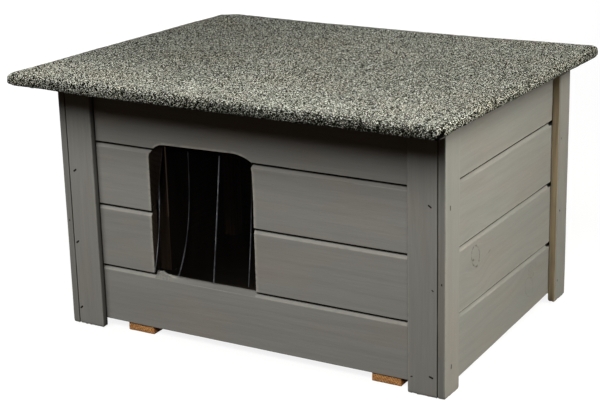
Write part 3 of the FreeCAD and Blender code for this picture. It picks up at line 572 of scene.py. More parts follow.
GREY = (0.205, 0.201, 0.186)
ORANGE = ((0.11, 0.034, 0.007), (0.34, 0.136, 0.036), (0.52, 0.250, 0.081), (0.74, 0.46, 0.20))
BROWN = ((0.10, 0.058, 0.028), (0.20, 0.125, 0.066), (0.31, 0.212, 0.122))
BROWN_ENDS = ((0.05, 0.026, 0.012), (0.13, 0.078, 0.04), (0.22, 0.145, 0.08), (0.32, 0.23, 0.14))
M = {}
M["front"] = painted("front_boards", "x", GREY, grain=0.8)
M["side"] = painted("side_boards", "y", GREY, knots=[
    (-0.0779, 0.1591, 0.0135, 0.0148, 0.325, 0.85, 0.0), (-0.0853, 0.1556, 0.0042, 0.0019, 0.2, 0.0, 0.70),
    (-0.0322, 0.1512, 0.0042, 0.0011, -0.3, 0.0, 0.50), (0.1113, 0.0504, 0.0150, 0.0150, 0.33, 0.26, 0.0),
    (0.1177, 0.0713, 0.0100, 0.0090, 0.33, 0.26, 0.05)])
M["left"] = painted("left_boards", "y", GREY, knots=[
    (0.094, 0.2375, 0.0125, 0.0105, 0.1, 0.6, 0.16), (-0.118, 0.0560, 0.0090, 0.0075, -0.1, 0.5, 0.12)])
M["back"] = painted("back_boards", "x", GREY, knots=[
    (0.142, 0.232, 0.0140, 0.0110, 0.1, 0.6, 0.16), (-0.196, 0.141, 0.0100, 0.0080, 0.0, 0.5, 0.2)])
M["trim"] = painted("trims", "z", GREY, grain=0.8, bare=(
    (0.22, 0.172, 0.110), (0.40, 0.320, 0.202), (0.56, 0.455, 0.290)))
M["runner"] = end_grain("runner_wood", "y", (0.22, 0.084, 0.023), (0.50, 0.205, 0.058),
                        (0.70, 0.33, 0.105), ORANGE)
M["post"] = end_grain("inner_upright_wood", "z", *BROWN, BROWN_ENDS)
M["stud"] = end_grain("inner_stud_wood", "z", (0.24, 0.145, 0.075), (0.42, 0.275, 0.150), (0.55, 0.39, 0.22), BROWN_ENDS)
# the stud's front inner arris glows faintly with light of its own, a painted highlight
M["arris"] = end_grain("inner_stud_arris", "z", (0.24, 0.145, 0.075), (0.42, 0.275, 0.150), (0.55, 0.39, 0.22),
                       BROWN_ENDS, 0.034)
M["batten"] = end_grain("inner_cross_wood", "x", *BROWN, BROWN_ENDS)
M["panel"] = softwood("lid_panel_wood", "x", (0.10, 0.062, 0.033), (0.19, 0.128, 0.074), (0.28, 0.20, 0.125))
M["film"] = softwood("floor_panel_wood", "x", (0.010, 0.007, 0.005), (0.021, 0.015, 0.011),
                     (0.036, 0.027, 0.019), 0.55)
M["felt"] = mineral_felt("mineral_felt")
M["zinc"] = metal("zinc_steel", (0.52, 0.53, 0.54), (0.24, 0.17, 0.11), 0.28)
M["nail"] = metal("nail_steel", (0.035, 0.032, 0.029), (0.02, 0.012, 0.008), 0.5)
M["clear"] = clear_sheet("clear_pvc")
M["slit"] = cut_edge("clear_pvc_edge")

# ------------------------------------------------------------- door outline
def arc_through(p, q, r):
    """Centre of the circle of radius r through p and q that lies below them."""
    p, q = np.array(p), np.array(q)
    mid, d = (p + q) / 2, q - p
    half = np.linalg.norm(d) / 2
    n = np.array((d[1], -d[0])) / (2 * half)
    if n[1] > 0:
        n = -n
    return mid + n * math.sqrt(r * r - half * half)


LEFT_C = arc_through((DOOR_L, 268.5), (-130.0, 287.5), 30.1)
RIGHT_C = arc_through((-24.0, 289.5), (DOOR_R, 280.5), 60.0)


def door_top(x):
    """Height of the sawn top of the doorway at x."""
    if x < -130.0:
        return LEFT_C[1] + math.sqrt(max(0.0, 30.1 ** 2 - (x - LEFT_C[0]) ** 2))
    if x <= -24.0:
        return 287.5 + 2.0 * (x + 130.0) / 106.0
    return RIGHT_C[1] + math.sqrt(max(0.0, 60.0 ** 2 - (x - RIGHT_C[0]) ** 2))


def door_left(z):
    """Edge of the doorway's left side at height z."""
    if z <= 268.5:
        return DOOR_L
    return min(-134.0, LEFT_C[0] - math.sqrt(max(0.0, 30.1 ** 2 - min(z - LEFT_C[1], 29.9) ** 2)))


# -------------------------------------------------------------- wall boards
MAPS = {
    "front": lambda u, d, z: (u, WF + d, z),
    "back": lambda u, d, z: (u, WB - d, z),
    "right": lambda u, d, z: (WS - d, u, z),
    "left": lambda u, d, z: (-WS + d, u, z),
}


def board_outline(row, top, rim=0.55, z0=None, tongue=None, back=None, groove=True, rim_r=0.9):
    """Tongue-and-groove outline in (depth, height). row 0 is the bottom board, 3 the top one."""
    lo = EDGE[row] if z0 is None else z0
    pts = [(0, lo, rim_r, rim)]
    if row < 3:
        nxt = EDGE[row + 1]
        sh = nxt - 3.0
        ton = (nxt + 7.0) if tongue is None else tongue
        bk = (nxt - 0.1) if back is None else back
        pts += [(0, sh - 4.5, 0.9, 0.55), (2.9, sh - 1.2375, 0, 0.3), (4, sh, 0.5, 0.5), (5, sh, 0, 0), (5, ton, 0.5, 0),
                (9, ton, 0.5, 0), (9, bk, 0, 0), (14, bk, 0.4, 0)]
    else:
        pts += [(0, top, 0.8, 0.2), (14, top, 0.4, 0)]
    pts += [(14, lo, 0.4, 0)]
    if row > 0:
        up = max(lo, EDGE[row] + 8.0) if groove else lo
        pts += [(9.5, lo, 0, 0), (9.5, up, 0, 0), (4.5, up, 0, 0), (4.5, lo, 0, 0)]
    return pts


def board(name, wall, row, stations, seed, mat, shape=None, shift=None, raw_ends=(1.0, 1.0),
          end_wear=(0.0, 0.0), tone=0.0, mark=None):
    """One wall board. stations: (u, inset) along it. shape(u) -> outline options.
    shift(u, d, z) moves points along the board, for sawn ends.
    mark(rings, attrs) adds to what the paint knows."""
    at = MAPS[wall]
    rings, wear = [], []
    plan = outline(board_outline(row, wall_top(0)))[2]
    for i, (u, r) in enumerate(stations):
        opts = shape(u) if shape else {}
        top = None
        if row == 3:
            top = wall_top(WF if wall == "front" else WB if wall == "back" else u)
        o, w, _ = outline(board_outline(row, top, **opts), plan=plan)
        if r:
            o = inset(o, r)
        us = np.full(len(o), float(u))
        if shift is not None:
            us = us + np.array([shift(u, d, z) for d, z in o])
        rings.append(np.stack([us, o[:, 0], o[:, 1]], 1))
        # the sawn end's arris is worn too, on the outer face only
        ends = 0.0
        for e, at_end in ((end_wear[0], u - stations[0][0]), (end_wear[1], stations[-1][0] - u)):
            ends = max(ends, e * float(1 - smooth(0.9, 2.6, at_end)))
        w = np.maximum(w, ends * (o[:, 0] < 4.2))
        wear.append(w)
    rings = np.array(rings)
    wear = np.array(wear)
    rings = wobble(rings, seed, 0.18)
    depth = rings[:, :, 1]
    bare = smooth(4.4, 5.4, depth)
    joint = np.zeros(depth.shape, bool)
    for e in EDGE[1:]:
        joint |= (rings[:, :, 2] > e - 6.0) & (rings[:, :, 2] < e + 9.0)
    # deep in the joints: dirt and painted shade where the board above overhangs
    deep, full = (2.9, 3.6) if wall == "front" else (2.95, 4.0)
    grime = smooth(deep, full, depth) * (1 - smooth(9.2, 9.6, depth)) * joint
    attrs = {"edge": wear, "bare": bare, "grime": grime, "seed": np.full(wear.shape, seed * 1.37),
             "tone": np.full(wear.shape, tone)}
    if mark:
        mark(rings, attrs)
    xyz = np.stack(at(rings[:, :, 0], rings[:, :, 1], rings[:, :, 2]), -1)
    v, f, c = loft(xyz, attrs, {"edge": (0.0, 0.0), "bare": raw_ends,
                                "seed": (seed * 1.37 + 0.5,) * 2, "tone": (tone, tone)})
    return piece(name, v, f, c, [M[mat]], replaces=[name])


X0, X1 = -288.9, 288.9
Y0, Y1 = -169.1, 199.7
rag = np.random.RandomState(7)


# bottom front board: sill sawn flat in the doorway, a torn bit of the tongue left at its left end
def torn(x):
    """What is left of the tongue along the sill."""
    p = np.array([[x / 2.3, 3.3, 0.2]])
    tear = 6.6 * float(smooth(-157.9, -155.5, x) * (1 - smooth(-148.5, -141.5, x)))
    tear += 2.0 * float(smooth(-148, -142, x) * (1 - smooth(-137, -129, x)))
    return SILL + 0.15 + tear * (0.86 + 0.26 * float(vnoise(p, 3)[0])) + 0.15 * float(vnoise(p * 1.7, 5)[0])


def sill_marks(rings, attrs):
    """The sawn sill is stained in front, its bevel and flat painted darker as painted shade where they face the light,
    and painted black behind as a painted shadow; the torn bit is painted over and worn, its top rim paler, partly a
    painted highlight.
    """
    x, d, z = rings[:, :, 0], rings[:, :, 1], rings[:, :, 2]
    door = (x > DOOR_L) & (x < DOOR_R) & (z > SILL - 2.5)
    uneven = vnoise(np.stack([x.ravel() / 17.0, d.ravel() / 9.0, np.full(x.size, 0.4)], 1), 64).reshape(x.shape)
    flat = door & (d > 4.3) & (d < 9.8)
    bevel = (x > DOOR_L) & (x < DOOR_R) & (z > EDGE[1] - 8.2) & (d > 0.12) & (d <= 4.3)
    attrs["grime"] = np.where(door & (d >= 9.8), 1.0, np.where(flat | bevel, 0.0, attrs["grime"]))
    attrs["bare"] = np.where(flat | bevel, 0.0, attrs["bare"])
    attrs["edge"] = np.where(flat | bevel, attrs["edge"] * 0.3, attrs["edge"])
    attrs["tone"] = np.where(flat, -0.6 + 0.8 * uneven, np.where(bevel, -2.6 + 1.2 * uneven, attrs["tone"]))
    bit = smooth(-158.0, -157.0, x) * (1 - smooth(-128.0, -112.0, x)) * (z > SILL - 4.5) * (d < 9.6)
    attrs["grime"] = attrs["grime"] * (1 - bit * (d > 3.0))
    attrs["bare"] = attrs["bare"] * (1 - bit)
    lip = np.array([torn(float(q)) for q in x.mean(1)])[:, None]
    top = bit * smooth(1.6, 0.4, lip - z) * (d < 6.5)
    speck = vnoise(np.stack([x.ravel() / 1.9, z.ravel() / 1.5, d.ravel() / 2.0], 1), 63).reshape(x.shape)
    attrs["edge"] = np.maximum(attrs["edge"], np.maximum(bit * (0.42 + 0.3 * speck), top))
    attrs["grime"] = np.maximum(attrs["grime"], bit * smooth(0.45, 0.75, speck) * 0.6 * (d < 5.5) * (1 - top))


def bottom_shape(x):
    if DOOR_L < x < DOOR_R:
        z = torn(x)
        return {"tongue": max(z, SILL + 0.05), "back": SILL}
    return {}


st = spread(X0, DOOR_L - 0.06, 22, last=False)
st += [(x, 0.0) for x in (DOOR_L + 0.06, *np.arange(-157.0, -130.0, 0.8), *np.arange(-128.0, 8.0, 9.0), DOOR_R - 0.06)]
st += spread(DOOR_R + 0.06, X1, 22, first=False)
board("front_board_bottom", "front", 0, st, 1, "front", shape=bottom_shape, tone=0.10,
      mark=sill_marks)

def eave_shade_marks(rings, attrs):
    """The highest bevel is painted darker than the others, most at its right end, a painted shade of the eave; it
    shows less wear.
    """
    x, d, z = rings[:, :, 0], rings[:, :, 1], rings[:, :, 2]
    bevel = (z > EDGE[3] - 8.2) & (z < EDGE[3] - 2.4) & (d > 0.12) & (d < 4.6)
    attrs["tone"] = np.where(bevel, -0.6 - 1.2 * smooth(60.0, 230.0, x), attrs["tone"])
    attrs["edge"] = np.where(bevel, attrs["edge"] * 0.4, attrs["edge"])


# short boards beside the doorway; their sawn ends are a little uneven
for row, word, tone in ((1, "2", 0.0), (2, "3", 0.06)):
    def left_end(u, d, z, row=row):
        k = float(smooth(-205.0, -160.0, u))
        rough = 0.28 * float(vnoise(np.array([[z / 3.3, d / 5.0, row * 3.0]]), 21)[0])
        return k * (door_left(z) - DOOR_L + rough)

    def right_end(u, d, z, row=row):
        k = 1 - float(smooth(DOOR_R + 2, DOOR_R + 46, u))
        rough = 0.28 * float(vnoise(np.array([[z / 3.3, d / 5.0, row * 3.0]]), 22)[0])
        lump = -1.5 * math.exp(-((z - 272.5) / 4.5) ** 2) if row == 2 else \
            -0.8 * math.exp(-((z - 184.0) / 3.0) ** 2)
        return k * (rough + lump)

    board("front_board_%s_left" % word, "front", row, spread(X0, DOOR_L, 20), 2 + row, "front",
          shift=left_end, raw_ends=(1.0, 1.0), end_wear=(0.0, 0.85), tone=tone,
          mark=eave_shade_marks if row == 2 else None)
    board("front_board_%s_right" % word, "front", row, spread(DOOR_R, X1, 22), 6 + row, "front",
          shift=right_end, raw_ends=(1.0, 1.0), end_wear=(1.0, 0.0), tone=-tone,
          mark=eave_shade_marks if row == 2 else None)

# top front board, sawn to the doorway's arch
def top_shape(x):
    z = door_top(x) if DOOR_L < x < DOOR_R else 0.0
    if z > EDGE[3]:
        return {"z0": z, "rim": 1.0, "rim_r": 0.35}
    return {}


arch0 = LEFT_C[0] - math.sqrt(30.1 ** 2 - (EDGE[3] - LEFT_C[1]) ** 2)
st = spread(X0, arch0 - 0.3, 22, last=False)
st += [(x, 0.0) for x in (*np.arange(arch0 + 0.2, -128.0, 1.2), *np.arange(-126.0, -26.0, 8.0),
                          *np.arange(-24.0, DOOR_R, 2.4), DOOR_R - 0.06)]
st += spread(DOOR_R + 0.06, X1, 22, first=False)


def arch_marks(rings, attrs):
    """A pale worn line follows the saw cut round the head of the doorway."""
    x, d, z = rings[:, :, 0], rings[:, :, 1], rings[:, :, 2]
    cut = np.array([door_top(q) if DOOR_L < q < DOOR_R else 0.0 for q in x.mean(1)])[:, None]
    near = (cut > EDGE[3]) * (d < 1.4) * smooth(4.4, 1.4, z - cut)
    ragged = vnoise(np.stack([x.ravel() / 6.0, z.ravel() / 6.0, np.full(x.size, 0.4)], 1), 66).reshape(x.shape)
    attrs["edge"] = np.maximum(attrs["edge"], near * (0.95 + 0.3 * ragged))


board("front_board_top", "front", 3, st, 11, "front", shape=top_shape, tone=-0.05, mark=arch_marks)

tones = {"back": (0.1, -0.1, 0.15, 0.0), "right": (-0.4, -0.06, 0.15, 0.15), "left": (-0.1, 0.1, 0.0, 0.12)}


def side_marks(rings, attrs):
    """The bevels are painted darker, a painted shade, and show less wear; the joints' open ends against the rear trim
    are cut deeper and painted black, a painted shadow.
    """
    y, d, z = rings[:, :, 0], rings[:, :, 1], rings[:, :, 2]
    bevel = np.zeros(y.shape, bool)
    for e in EDGE[1:]:
        bevel |= (z > e - 8.2) & (z < e - 2.4) & (d > 0.12) & (d < 4.6)
    attrs["tone"] = np.where(bevel, -0.45, attrs["tone"])
    attrs["edge"] = np.where(bevel, attrs["edge"] * 0.25, attrs["edge"])
    attrs["grime"] = np.where(bevel & (d > 0.2), np.maximum(attrs["grime"], smooth(177.8, 178.8, y)), attrs["grime"])
    cut = np.clip(np.minimum(d + 2.6, 4.4) - d, 0, None) * smooth(177.8, 178.8, y)
    rings[:, :, 1] = np.where(bevel, d + cut, d)


def hanging(y):
    """The lower edge of the right wall drops towards the front."""
    return {"rim": 0.85, "z0": EDGE[0] - 0.0325 * (97.0 - y)}


for wall, u0, u1, base_seed in (("back", X0, X1, 21), ("right", Y0, Y1, 31), ("left", Y0, Y1, 41)):
    for row, word in enumerate(("bottom", "2", "3", "top")):
        st = spread(u0, u1, 24)
        if wall != "back":
            more = (174.5, 176.5, 177.8, 178.3, 178.8, 181.5, 186.0)
            st = sorted([q for q in st if not 173.5 < q[0] < 188.0] + [(q, 0.0) for q in more])
        board("%s_board_%s" % (wall, word), wall, row, st, base_seed + row,
              {"back": "back", "right": "side", "left": "left"}[wall], tone=tones[wall][row],
              shape=None if wall == "back" else hanging if (wall, row) == ("right", 0) else (
                  lambda u: {"rim": 0.85}),
              mark=None if wall == "back" else side_marks)


# -------------------------------------------------------------------- trims
def trim(name, x0, x1, y0, y1, seed, raw=None, saw=0.7, tone=0.0, turn=1.6, seam=None, dirty=None, flank=None,
         low=0.0, foot=2.5):
    """Upright batten with eased arrises; the foot is rough sawn, the head follows the roof."""
    def dense(lo, hi):
        return max(1.6, (hi - lo) / 26.0)
    corners = [(x0, y0, turn, 0.5), (x1, y0, turn, 0.5), (x1, y1, turn, 0.5), (x0, y1, turn, 0.5)]
    o, w, _ = outline(corners, step=1.9, near=(1.3, 3.0))
    zs = [(2.5, 1.9), (2.75, 1.1), (3.5, 0.45), (5.2, 0.1), (8.0, 0.0)]
    zs += [(z, 0.0) for z in np.linspace(20.0, 352.0, 16)]
    rings, wear = [], []
    for i, (z, r) in enumerate(zs):
        p = inset(o, r) if r else o
        q = np.stack([p[:, 0], p[:, 1], np.full(len(p), z - (2.5 - foot) * (z < 9))], 1)
        if z < 9:
            cut = vnoise(np.stack([p[:, 0] / 2.3, p[:, 1] / 2.3, np.full(len(p), seed * 2.0)], 1), seed)
            q[:, 2] = np.maximum(q[:, 2] + (cut * saw + 0.25 * saw) * (1 - smooth(2.5, 8.0, z)), 0.05)
        rings.append(q)
        wear.append(np.maximum(w, 0.65 * float(1 - smooth(2.6, 5.0, z))))
    for low, r in ((1.2, 0.0), (0.4, 0.4), (0.0, 1.2)):
        p = inset(o, r) if r else o
        rings.append(np.stack([p[:, 0], p[:, 1], wall_top(p[:, 1]) - low], 1))
        wear.append(w)
    rings = wobble(np.array(rings), seed, 0.22, 70.0)
    wear = np.array(wear)
    bare = raw(rings) if raw else np.zeros(wear.shape)
    bare = np.maximum(bare, 0.75 * (1 - smooth(0.1, 1.5, rings[:, :, 2] - foot)))
    grime = np.zeros(wear.shape)
    if seam is not None:
        # where two battens meet, dirt sits in the seam but for a few touching spots
        gap = np.abs(rings[:, :, 0] - seam)
        touch = vnoise(np.stack([rings[:, :, 2].ravel() / 21.0, np.full(gap.size, 0.5),
                                 np.full(gap.size, 2.5)], 1), 97).reshape(gap.shape)
        grime = (1 - smooth(0.35, 1.25, gap)) * (1 - 0.45 * smooth(0.35, 0.6, touch))
        grime *= np.minimum(rings[:, :, 1] - FRONT, BACK - rings[:, :, 1]) < 12.0
    shade = tone - low * smooth(130.0, 15.0, rings[:, :, 2])
    if flank is not None:
        # the narrow side towards the boards is painted darker, a painted shade, with a painted shadow in the corner
        # where it meets them
        side = smooth(1.3, 0.3, np.abs(rings[:, :, 0] - (x1 if flank > 0 else x0)))
        wall = np.minimum(np.abs(rings[:, :, 1] - WF), np.abs(rings[:, :, 1] - WB))
        shade = shade - 3.2 * side
        grime = np.maximum(grime, 0.9 * side * smooth(5.0, 2.6, wall))
    if dirty is not None:
        # the rear arris is painted dark, a painted shade where it turns from the light, patchy and darker low down;
        # the narrow front edge is painted darker
        y, z = rings[:, :, 1], rings[:, :, 2]
        line = smooth(1.7, 0.5, np.abs(y - y1)) * (np.abs(rings[:, :, 0]) > SIDE - 2.2)
        patchy = vnoise(np.stack([z.ravel() / 26.0, np.full(z.size, 0.7), np.full(z.size, seed)], 1), 98)
        amount = np.clip(0.34 + 0.35 * patchy.reshape(z.shape) + 0.30 * smooth(230.0, 120.0, z), 0.05, 0.8)
        wear = wear * (1 - line)
        grime = np.maximum(grime, line * amount)
        shade = shade - 2.0 * smooth(0.9, 0.2, np.abs(y - y0))
    if raw is not None:
        # the unstained side is greyer and darker low down; the outer face is darker beside its arris, and the arris
        # shows no wear
        y, z = rings[:, :, 1], rings[:, :, 2]
        blot = vnoise(np.stack([z.ravel() / 30.0, rings[:, :, 0].ravel() / 5.0, np.full(z.size, seed)], 1), 99)
        blot = blot.reshape(z.shape)
        near_arris = smooth(9.0, 1.0, y - y0)
        shade = shade - (1 - bare) * near_arris * (1.1 + 1.0 * blot)
        dull = np.clip(0.13 * smooth(260.0, 110.0, z) + 0.16 * blot, 0.0, 0.32)
        grime = np.maximum(grime, dull * (bare > 0.3))
        bare = bare * (1 - 0.34 * smooth(170.0, 310.0, z))
        wear = wear * (1 - 0.85 * smooth(4.0, 2.0, y - y0))
    attrs = {"edge": wear * (1 - grime), "bare": bare, "grime": grime,
             "seed": np.full(wear.shape, seed * 1.91), "tone": shade}
    v, f, c = loft(rings, attrs, {"edge": (0.2, 0.0), "bare": (0.9, 1.0),
                                  "seed": (seed * 1.91,) * 2, "tone": (tone, tone)})
    return piece(name, v, f, c, [M["trim"]], replaces=[name])


def face_at(axis, value, way, soft=0.9):
    """Bare on the faces that lie at one side of the batten."""
    def raw(rings):
        d = np.abs(rings[:, :, axis] - value)
        return 1 - smooth(0.15, soft, d)
    return raw


trim("front_trim_left", -288.9, -246.0, FRONT, WF - 0.1, 51, tone=0.0, seam=-288.95, flank=1, foot=0.9)
trim("front_trim_right", 246.0, 288.9, FRONT, WF - 0.1, 52, tone=-0.45, seam=288.95, flank=-1, low=1.3, foot=0.25)
trim("back_trim_left", -288.9, -246.0, WB + 0.1, BACK, 53, tone=0.1, seam=-288.95, flank=1)
trim("back_trim_right", 246.0, 288.9, WB + 0.1, BACK, 54, tone=-0.1, seam=288.95, flank=-1)
trim("side_trim_right_front", 289.0, SIDE, FRONT, FRONT + 42.4, 55, tone=0.02, turn=1.5, seam=288.95, dirty=1, low=1.3,
     foot=0.25)
trim("side_trim_right_rear", 289.0, SIDE, BACK - 39.5, BACK, 56, tone=-0.04,
     raw=face_at(1, BACK - 39.5, 1), seam=288.95)
trim("side_trim_left_front", -SIDE, -289.0, FRONT, FRONT + 42.4, 57, tone=0.05, turn=1.5, seam=-288.95, dirty=1, foot=0.9)
trim("side_trim_left_rear", -SIDE, -289.0, BACK - 39.5, BACK, 58, tone=0.0,
     raw=face_at(1, BACK - 39.5, 1), seam=-288.95)


# ------------------------------------------------------------------ runners
def runner(name, x0, x1, seed):
    o, w, _ = outline([(x0, 0.0, 1.2, 0.3), (x1, 0.0, 1.2, 0.3), (x1, 12.4, 0.8, 0.3), (x0, 12.4, 0.8, 0.3)],
                   step=2.2, near=(1.3, 3.0))
    rings = []
    st = [(-181.2, 0.9), (-180.9, 0.35), (-180.2, 0.0), *[(y, 0.0) for y in np.linspace(-170, 200, 18)],
          (210.8, 0.0), (211.5, 0.35), (211.8, 0.9)]
    for y, r in st:
        p = inset(o, r) if r else o
        q = np.stack([p[:, 0], np.full(len(p), y), p[:, 1]], 1)
        if abs(y - 15) > 193:
            cut = fbm(np.stack([p[:, 0] / 3.0, p[:, 1] / 3.0, np.full(len(p), seed)], 1), seed)
            q[:, 1] += cut * 0.5
        rings.append(q)
    rings = np.array(rings)
    flat = wobble(rings, seed, 0.2, 60.0)
    flat[:, :, 2] = np.where(rings[:, :, 2] < 0.4, rings[:, :, 2], flat[:, :, 2])
    flat[:, :, 2] = np.maximum(flat[:, :, 2], 0.0)
    n, m = flat.shape[:2]
    bare = np.zeros((n, m))
    bare[:2], bare[-2:] = 1.0, 1.0
    attrs = {"bare": bare, "seed": np.full((n, m), seed * 1.3)}
    v, f, c = loft(flat, attrs, {"bare": (1.0, 1.0), "seed": (seed * 1.3,) * 2})
    return piece(name, v, f, c, [M["runner"]], replaces=[name])


runner("runner_left", -210.0, -166.0, 61)
runner("runner_right", 186.5, 230.5, 62)


# ------------------------------------------------- posts, battens, lid panel
def lid_to_house(p):
    """Lid coordinates (x, along from the hinge, up) to the house frame."""
    c, s = math.cos(TILT), math.sin(TILT)
    return np.stack([p[:, 0], HINGE_Y + p[:, 1] * c - p[:, 2] * s, HINGE_Z + p[:, 1] * s + p[:, 2] * c], 1)


def stick(name, lo, hi, axis, seed, mat, body="house", turn=1.3, dark=None):
    """Planed batten with eased arrises and rough sawn ends."""
    a, b = [i for i in range(3) if i != axis]
    gap = 0.12
    o, _, _ = outline([(lo[a] + gap, lo[b] + gap, turn, 0), (hi[a] - gap, lo[b] + gap, turn, 0),
                       (hi[a] - gap, hi[b] - gap, turn, 0), (lo[a] + gap, hi[b] - gap, turn, 0)],
                      step=6.0, near=(1.3, 3.0))
    rings = []
    for u, r in spread(lo[axis] + gap, hi[axis] - gap, 26):
        p = inset(o, r) if r else o
        q = np.zeros((len(p), 3))
        q[:, a], q[:, b], q[:, axis] = p[:, 0], p[:, 1], u
        rings.append(q)
    rings = wobble(np.array(rings), seed, 0.1, 60.0)
    n, m = rings.shape[:2]
    bare = np.zeros((n, m))
    bare[:2], bare[-2:] = 1.0, 1.0
    attrs = {"bare": bare, "seed": np.full((n, m), seed * 1.3),
             "stain": dark(rings) if dark else np.zeros((n, m)), "worn": np.zeros((n, m))}
    if dark:
        x, y, z = np.abs(rings[:, :, 0]), rings[:, :, 1], rings[:, :, 2]
        # faces on the stud's front inner arris take the glowing material, a painted highlight
        attrs["worn"] = (x < 256.7) & (y < -4.1) & (z > 97.0) & (z < 226.0)
    v, f, c = loft(rings, attrs, {"bare": (1.0, 1.0), "seed": (seed * 1.3,) * 2})
    starts = np.cumsum([0] + [len(x) for x in f])
    worn = c.pop("worn")
    near_arris = [int(np.min(worn[i:j]) > 0.5) for i, j in zip(starts[:-1], starts[1:])]
    if body == "lid":
        v = lid_to_house(v)
    mats = [M[mat], M["arris"]] if dark else [M[mat]]
    return piece(name, v, f, c, mats, near_arris, replaces=[name], body=body)


FLOOR, POST_TOP = 24.5, 340.0
IN_X, IN_F, IN_B = 274.9, -169.1, 199.7
for word, y0, y1 in (("front", IN_F, IN_F + 22.0), ("rear", IN_B - 22.0, IN_B)):
    stick("post_%s_left" % word, (-IN_X, y0, FLOOR), (-IN_X + 22.0, y1, POST_TOP), 2, 81 + int(y0 > 0), "post")
    stick("post_%s_right" % word, (IN_X - 22.0, y0, FLOOR), (IN_X, y1, POST_TOP), 2, 83 + int(y0 > 0), "post")
stick("door_batten_left", (-240.0, IN_F, FLOOR), (-208.0, IN_F + 18.0, 330.0), 2, 85, "post")
stick("door_batten_right", (60.0, IN_F, FLOOR), (92.0, IN_F + 18.0, 330.0), 2, 86, "post")
def darkened(rings):
    """Painted shade: darkened all over, least on the front face low down where light comes in; the front inner arris
    is left unstained, a painted highlight.
    """
    x, y, z = np.abs(rings[:, :, 0]), rings[:, :, 1], rings[:, :, 2]
    face = 0.93 - 0.42 * smooth(190.0, 105.0, z)
    worn = smooth(259.6, 256.4, x) * smooth(70.0, 110.0, z)
    return np.maximum(0.97 * smooth(-4.7, -4.2, y), face * (1 - worn))


stick("stud_left", (-IN_X, -5.7, FLOOR), (-IN_X + 20.0, 36.3, POST_TOP), 2, 87, "stud", dark=darkened)
stick("stud_right", (IN_X - 20.0, -5.7, FLOOR), (IN_X, 36.3, POST_TOP), 2, 88, "stud", dark=darkened)
stick("curtain_clamp_bar", (-202.7, -167.3, 284.0), (53.3, -155.3, 312.0), 0, 89, "batten")
for word, yc, seed in (("front", -140.0, 90), ("rear", 140.0, 91)):
    v = yc - HINGE_Y
    stick("lid_batten_" + word, (-235.0, v - 14.0, 3.4 - 16.0), (235.0, v + 14.0, 3.4), 0, seed, "batten", body="lid")


def lid_panel():
    """Sheet under the felt, its edges eased so that the felt turns softly over them."""
    v0, v1, half = -497.14 + 2.2, 40.26 - 2.2, 325.5 - 2.2
    mid, deep = (v0 + v1) / 2, (v1 - v0) / 2
    o, _, _ = outline([(v0, 3.45, 2.0, 0), (v1, 3.45, 2.0, 0), (v1, 13.35, 5.0, 0), (v0, 13.35, 5.0, 0)],
                      step=30.0, near=(1.3, 8.0))
    ends = [(8.0 * (1 - math.cos(t)), 8.0 * (1 - math.sin(t))) for t in np.radians((0, 20, 40, 60, 80, 90))]
    st = [(-half + a, b) for a, b in ends] + [(x, 0.0) for x in np.linspace(-290, 290, 21)] \
        + [(half - a, b) for a, b in reversed(ends)]
    rings = []
    for x, e in st:
        v = o[:, 0] - np.sign(o[:, 0] - mid) * e * smooth(deep - 40.0, deep - 10.0, np.abs(o[:, 0] - mid))
        w = o[:, 1]
        tip = smooth(5.0, 0.0, half - abs(x)) * 3.2
        w = np.where(w > 8.4, w - tip * (w - 8.4) / 5.0, w)
        rings.append(np.stack([np.full(len(o), x), v, w], 1))
    v, f, c = loft(np.array(rings), {}, {})
    return piece("lid_panel", lid_to_house(v), f, None, [M["panel"]],
                 replaces=["lid_panel"], body="lid")


lid_panel()


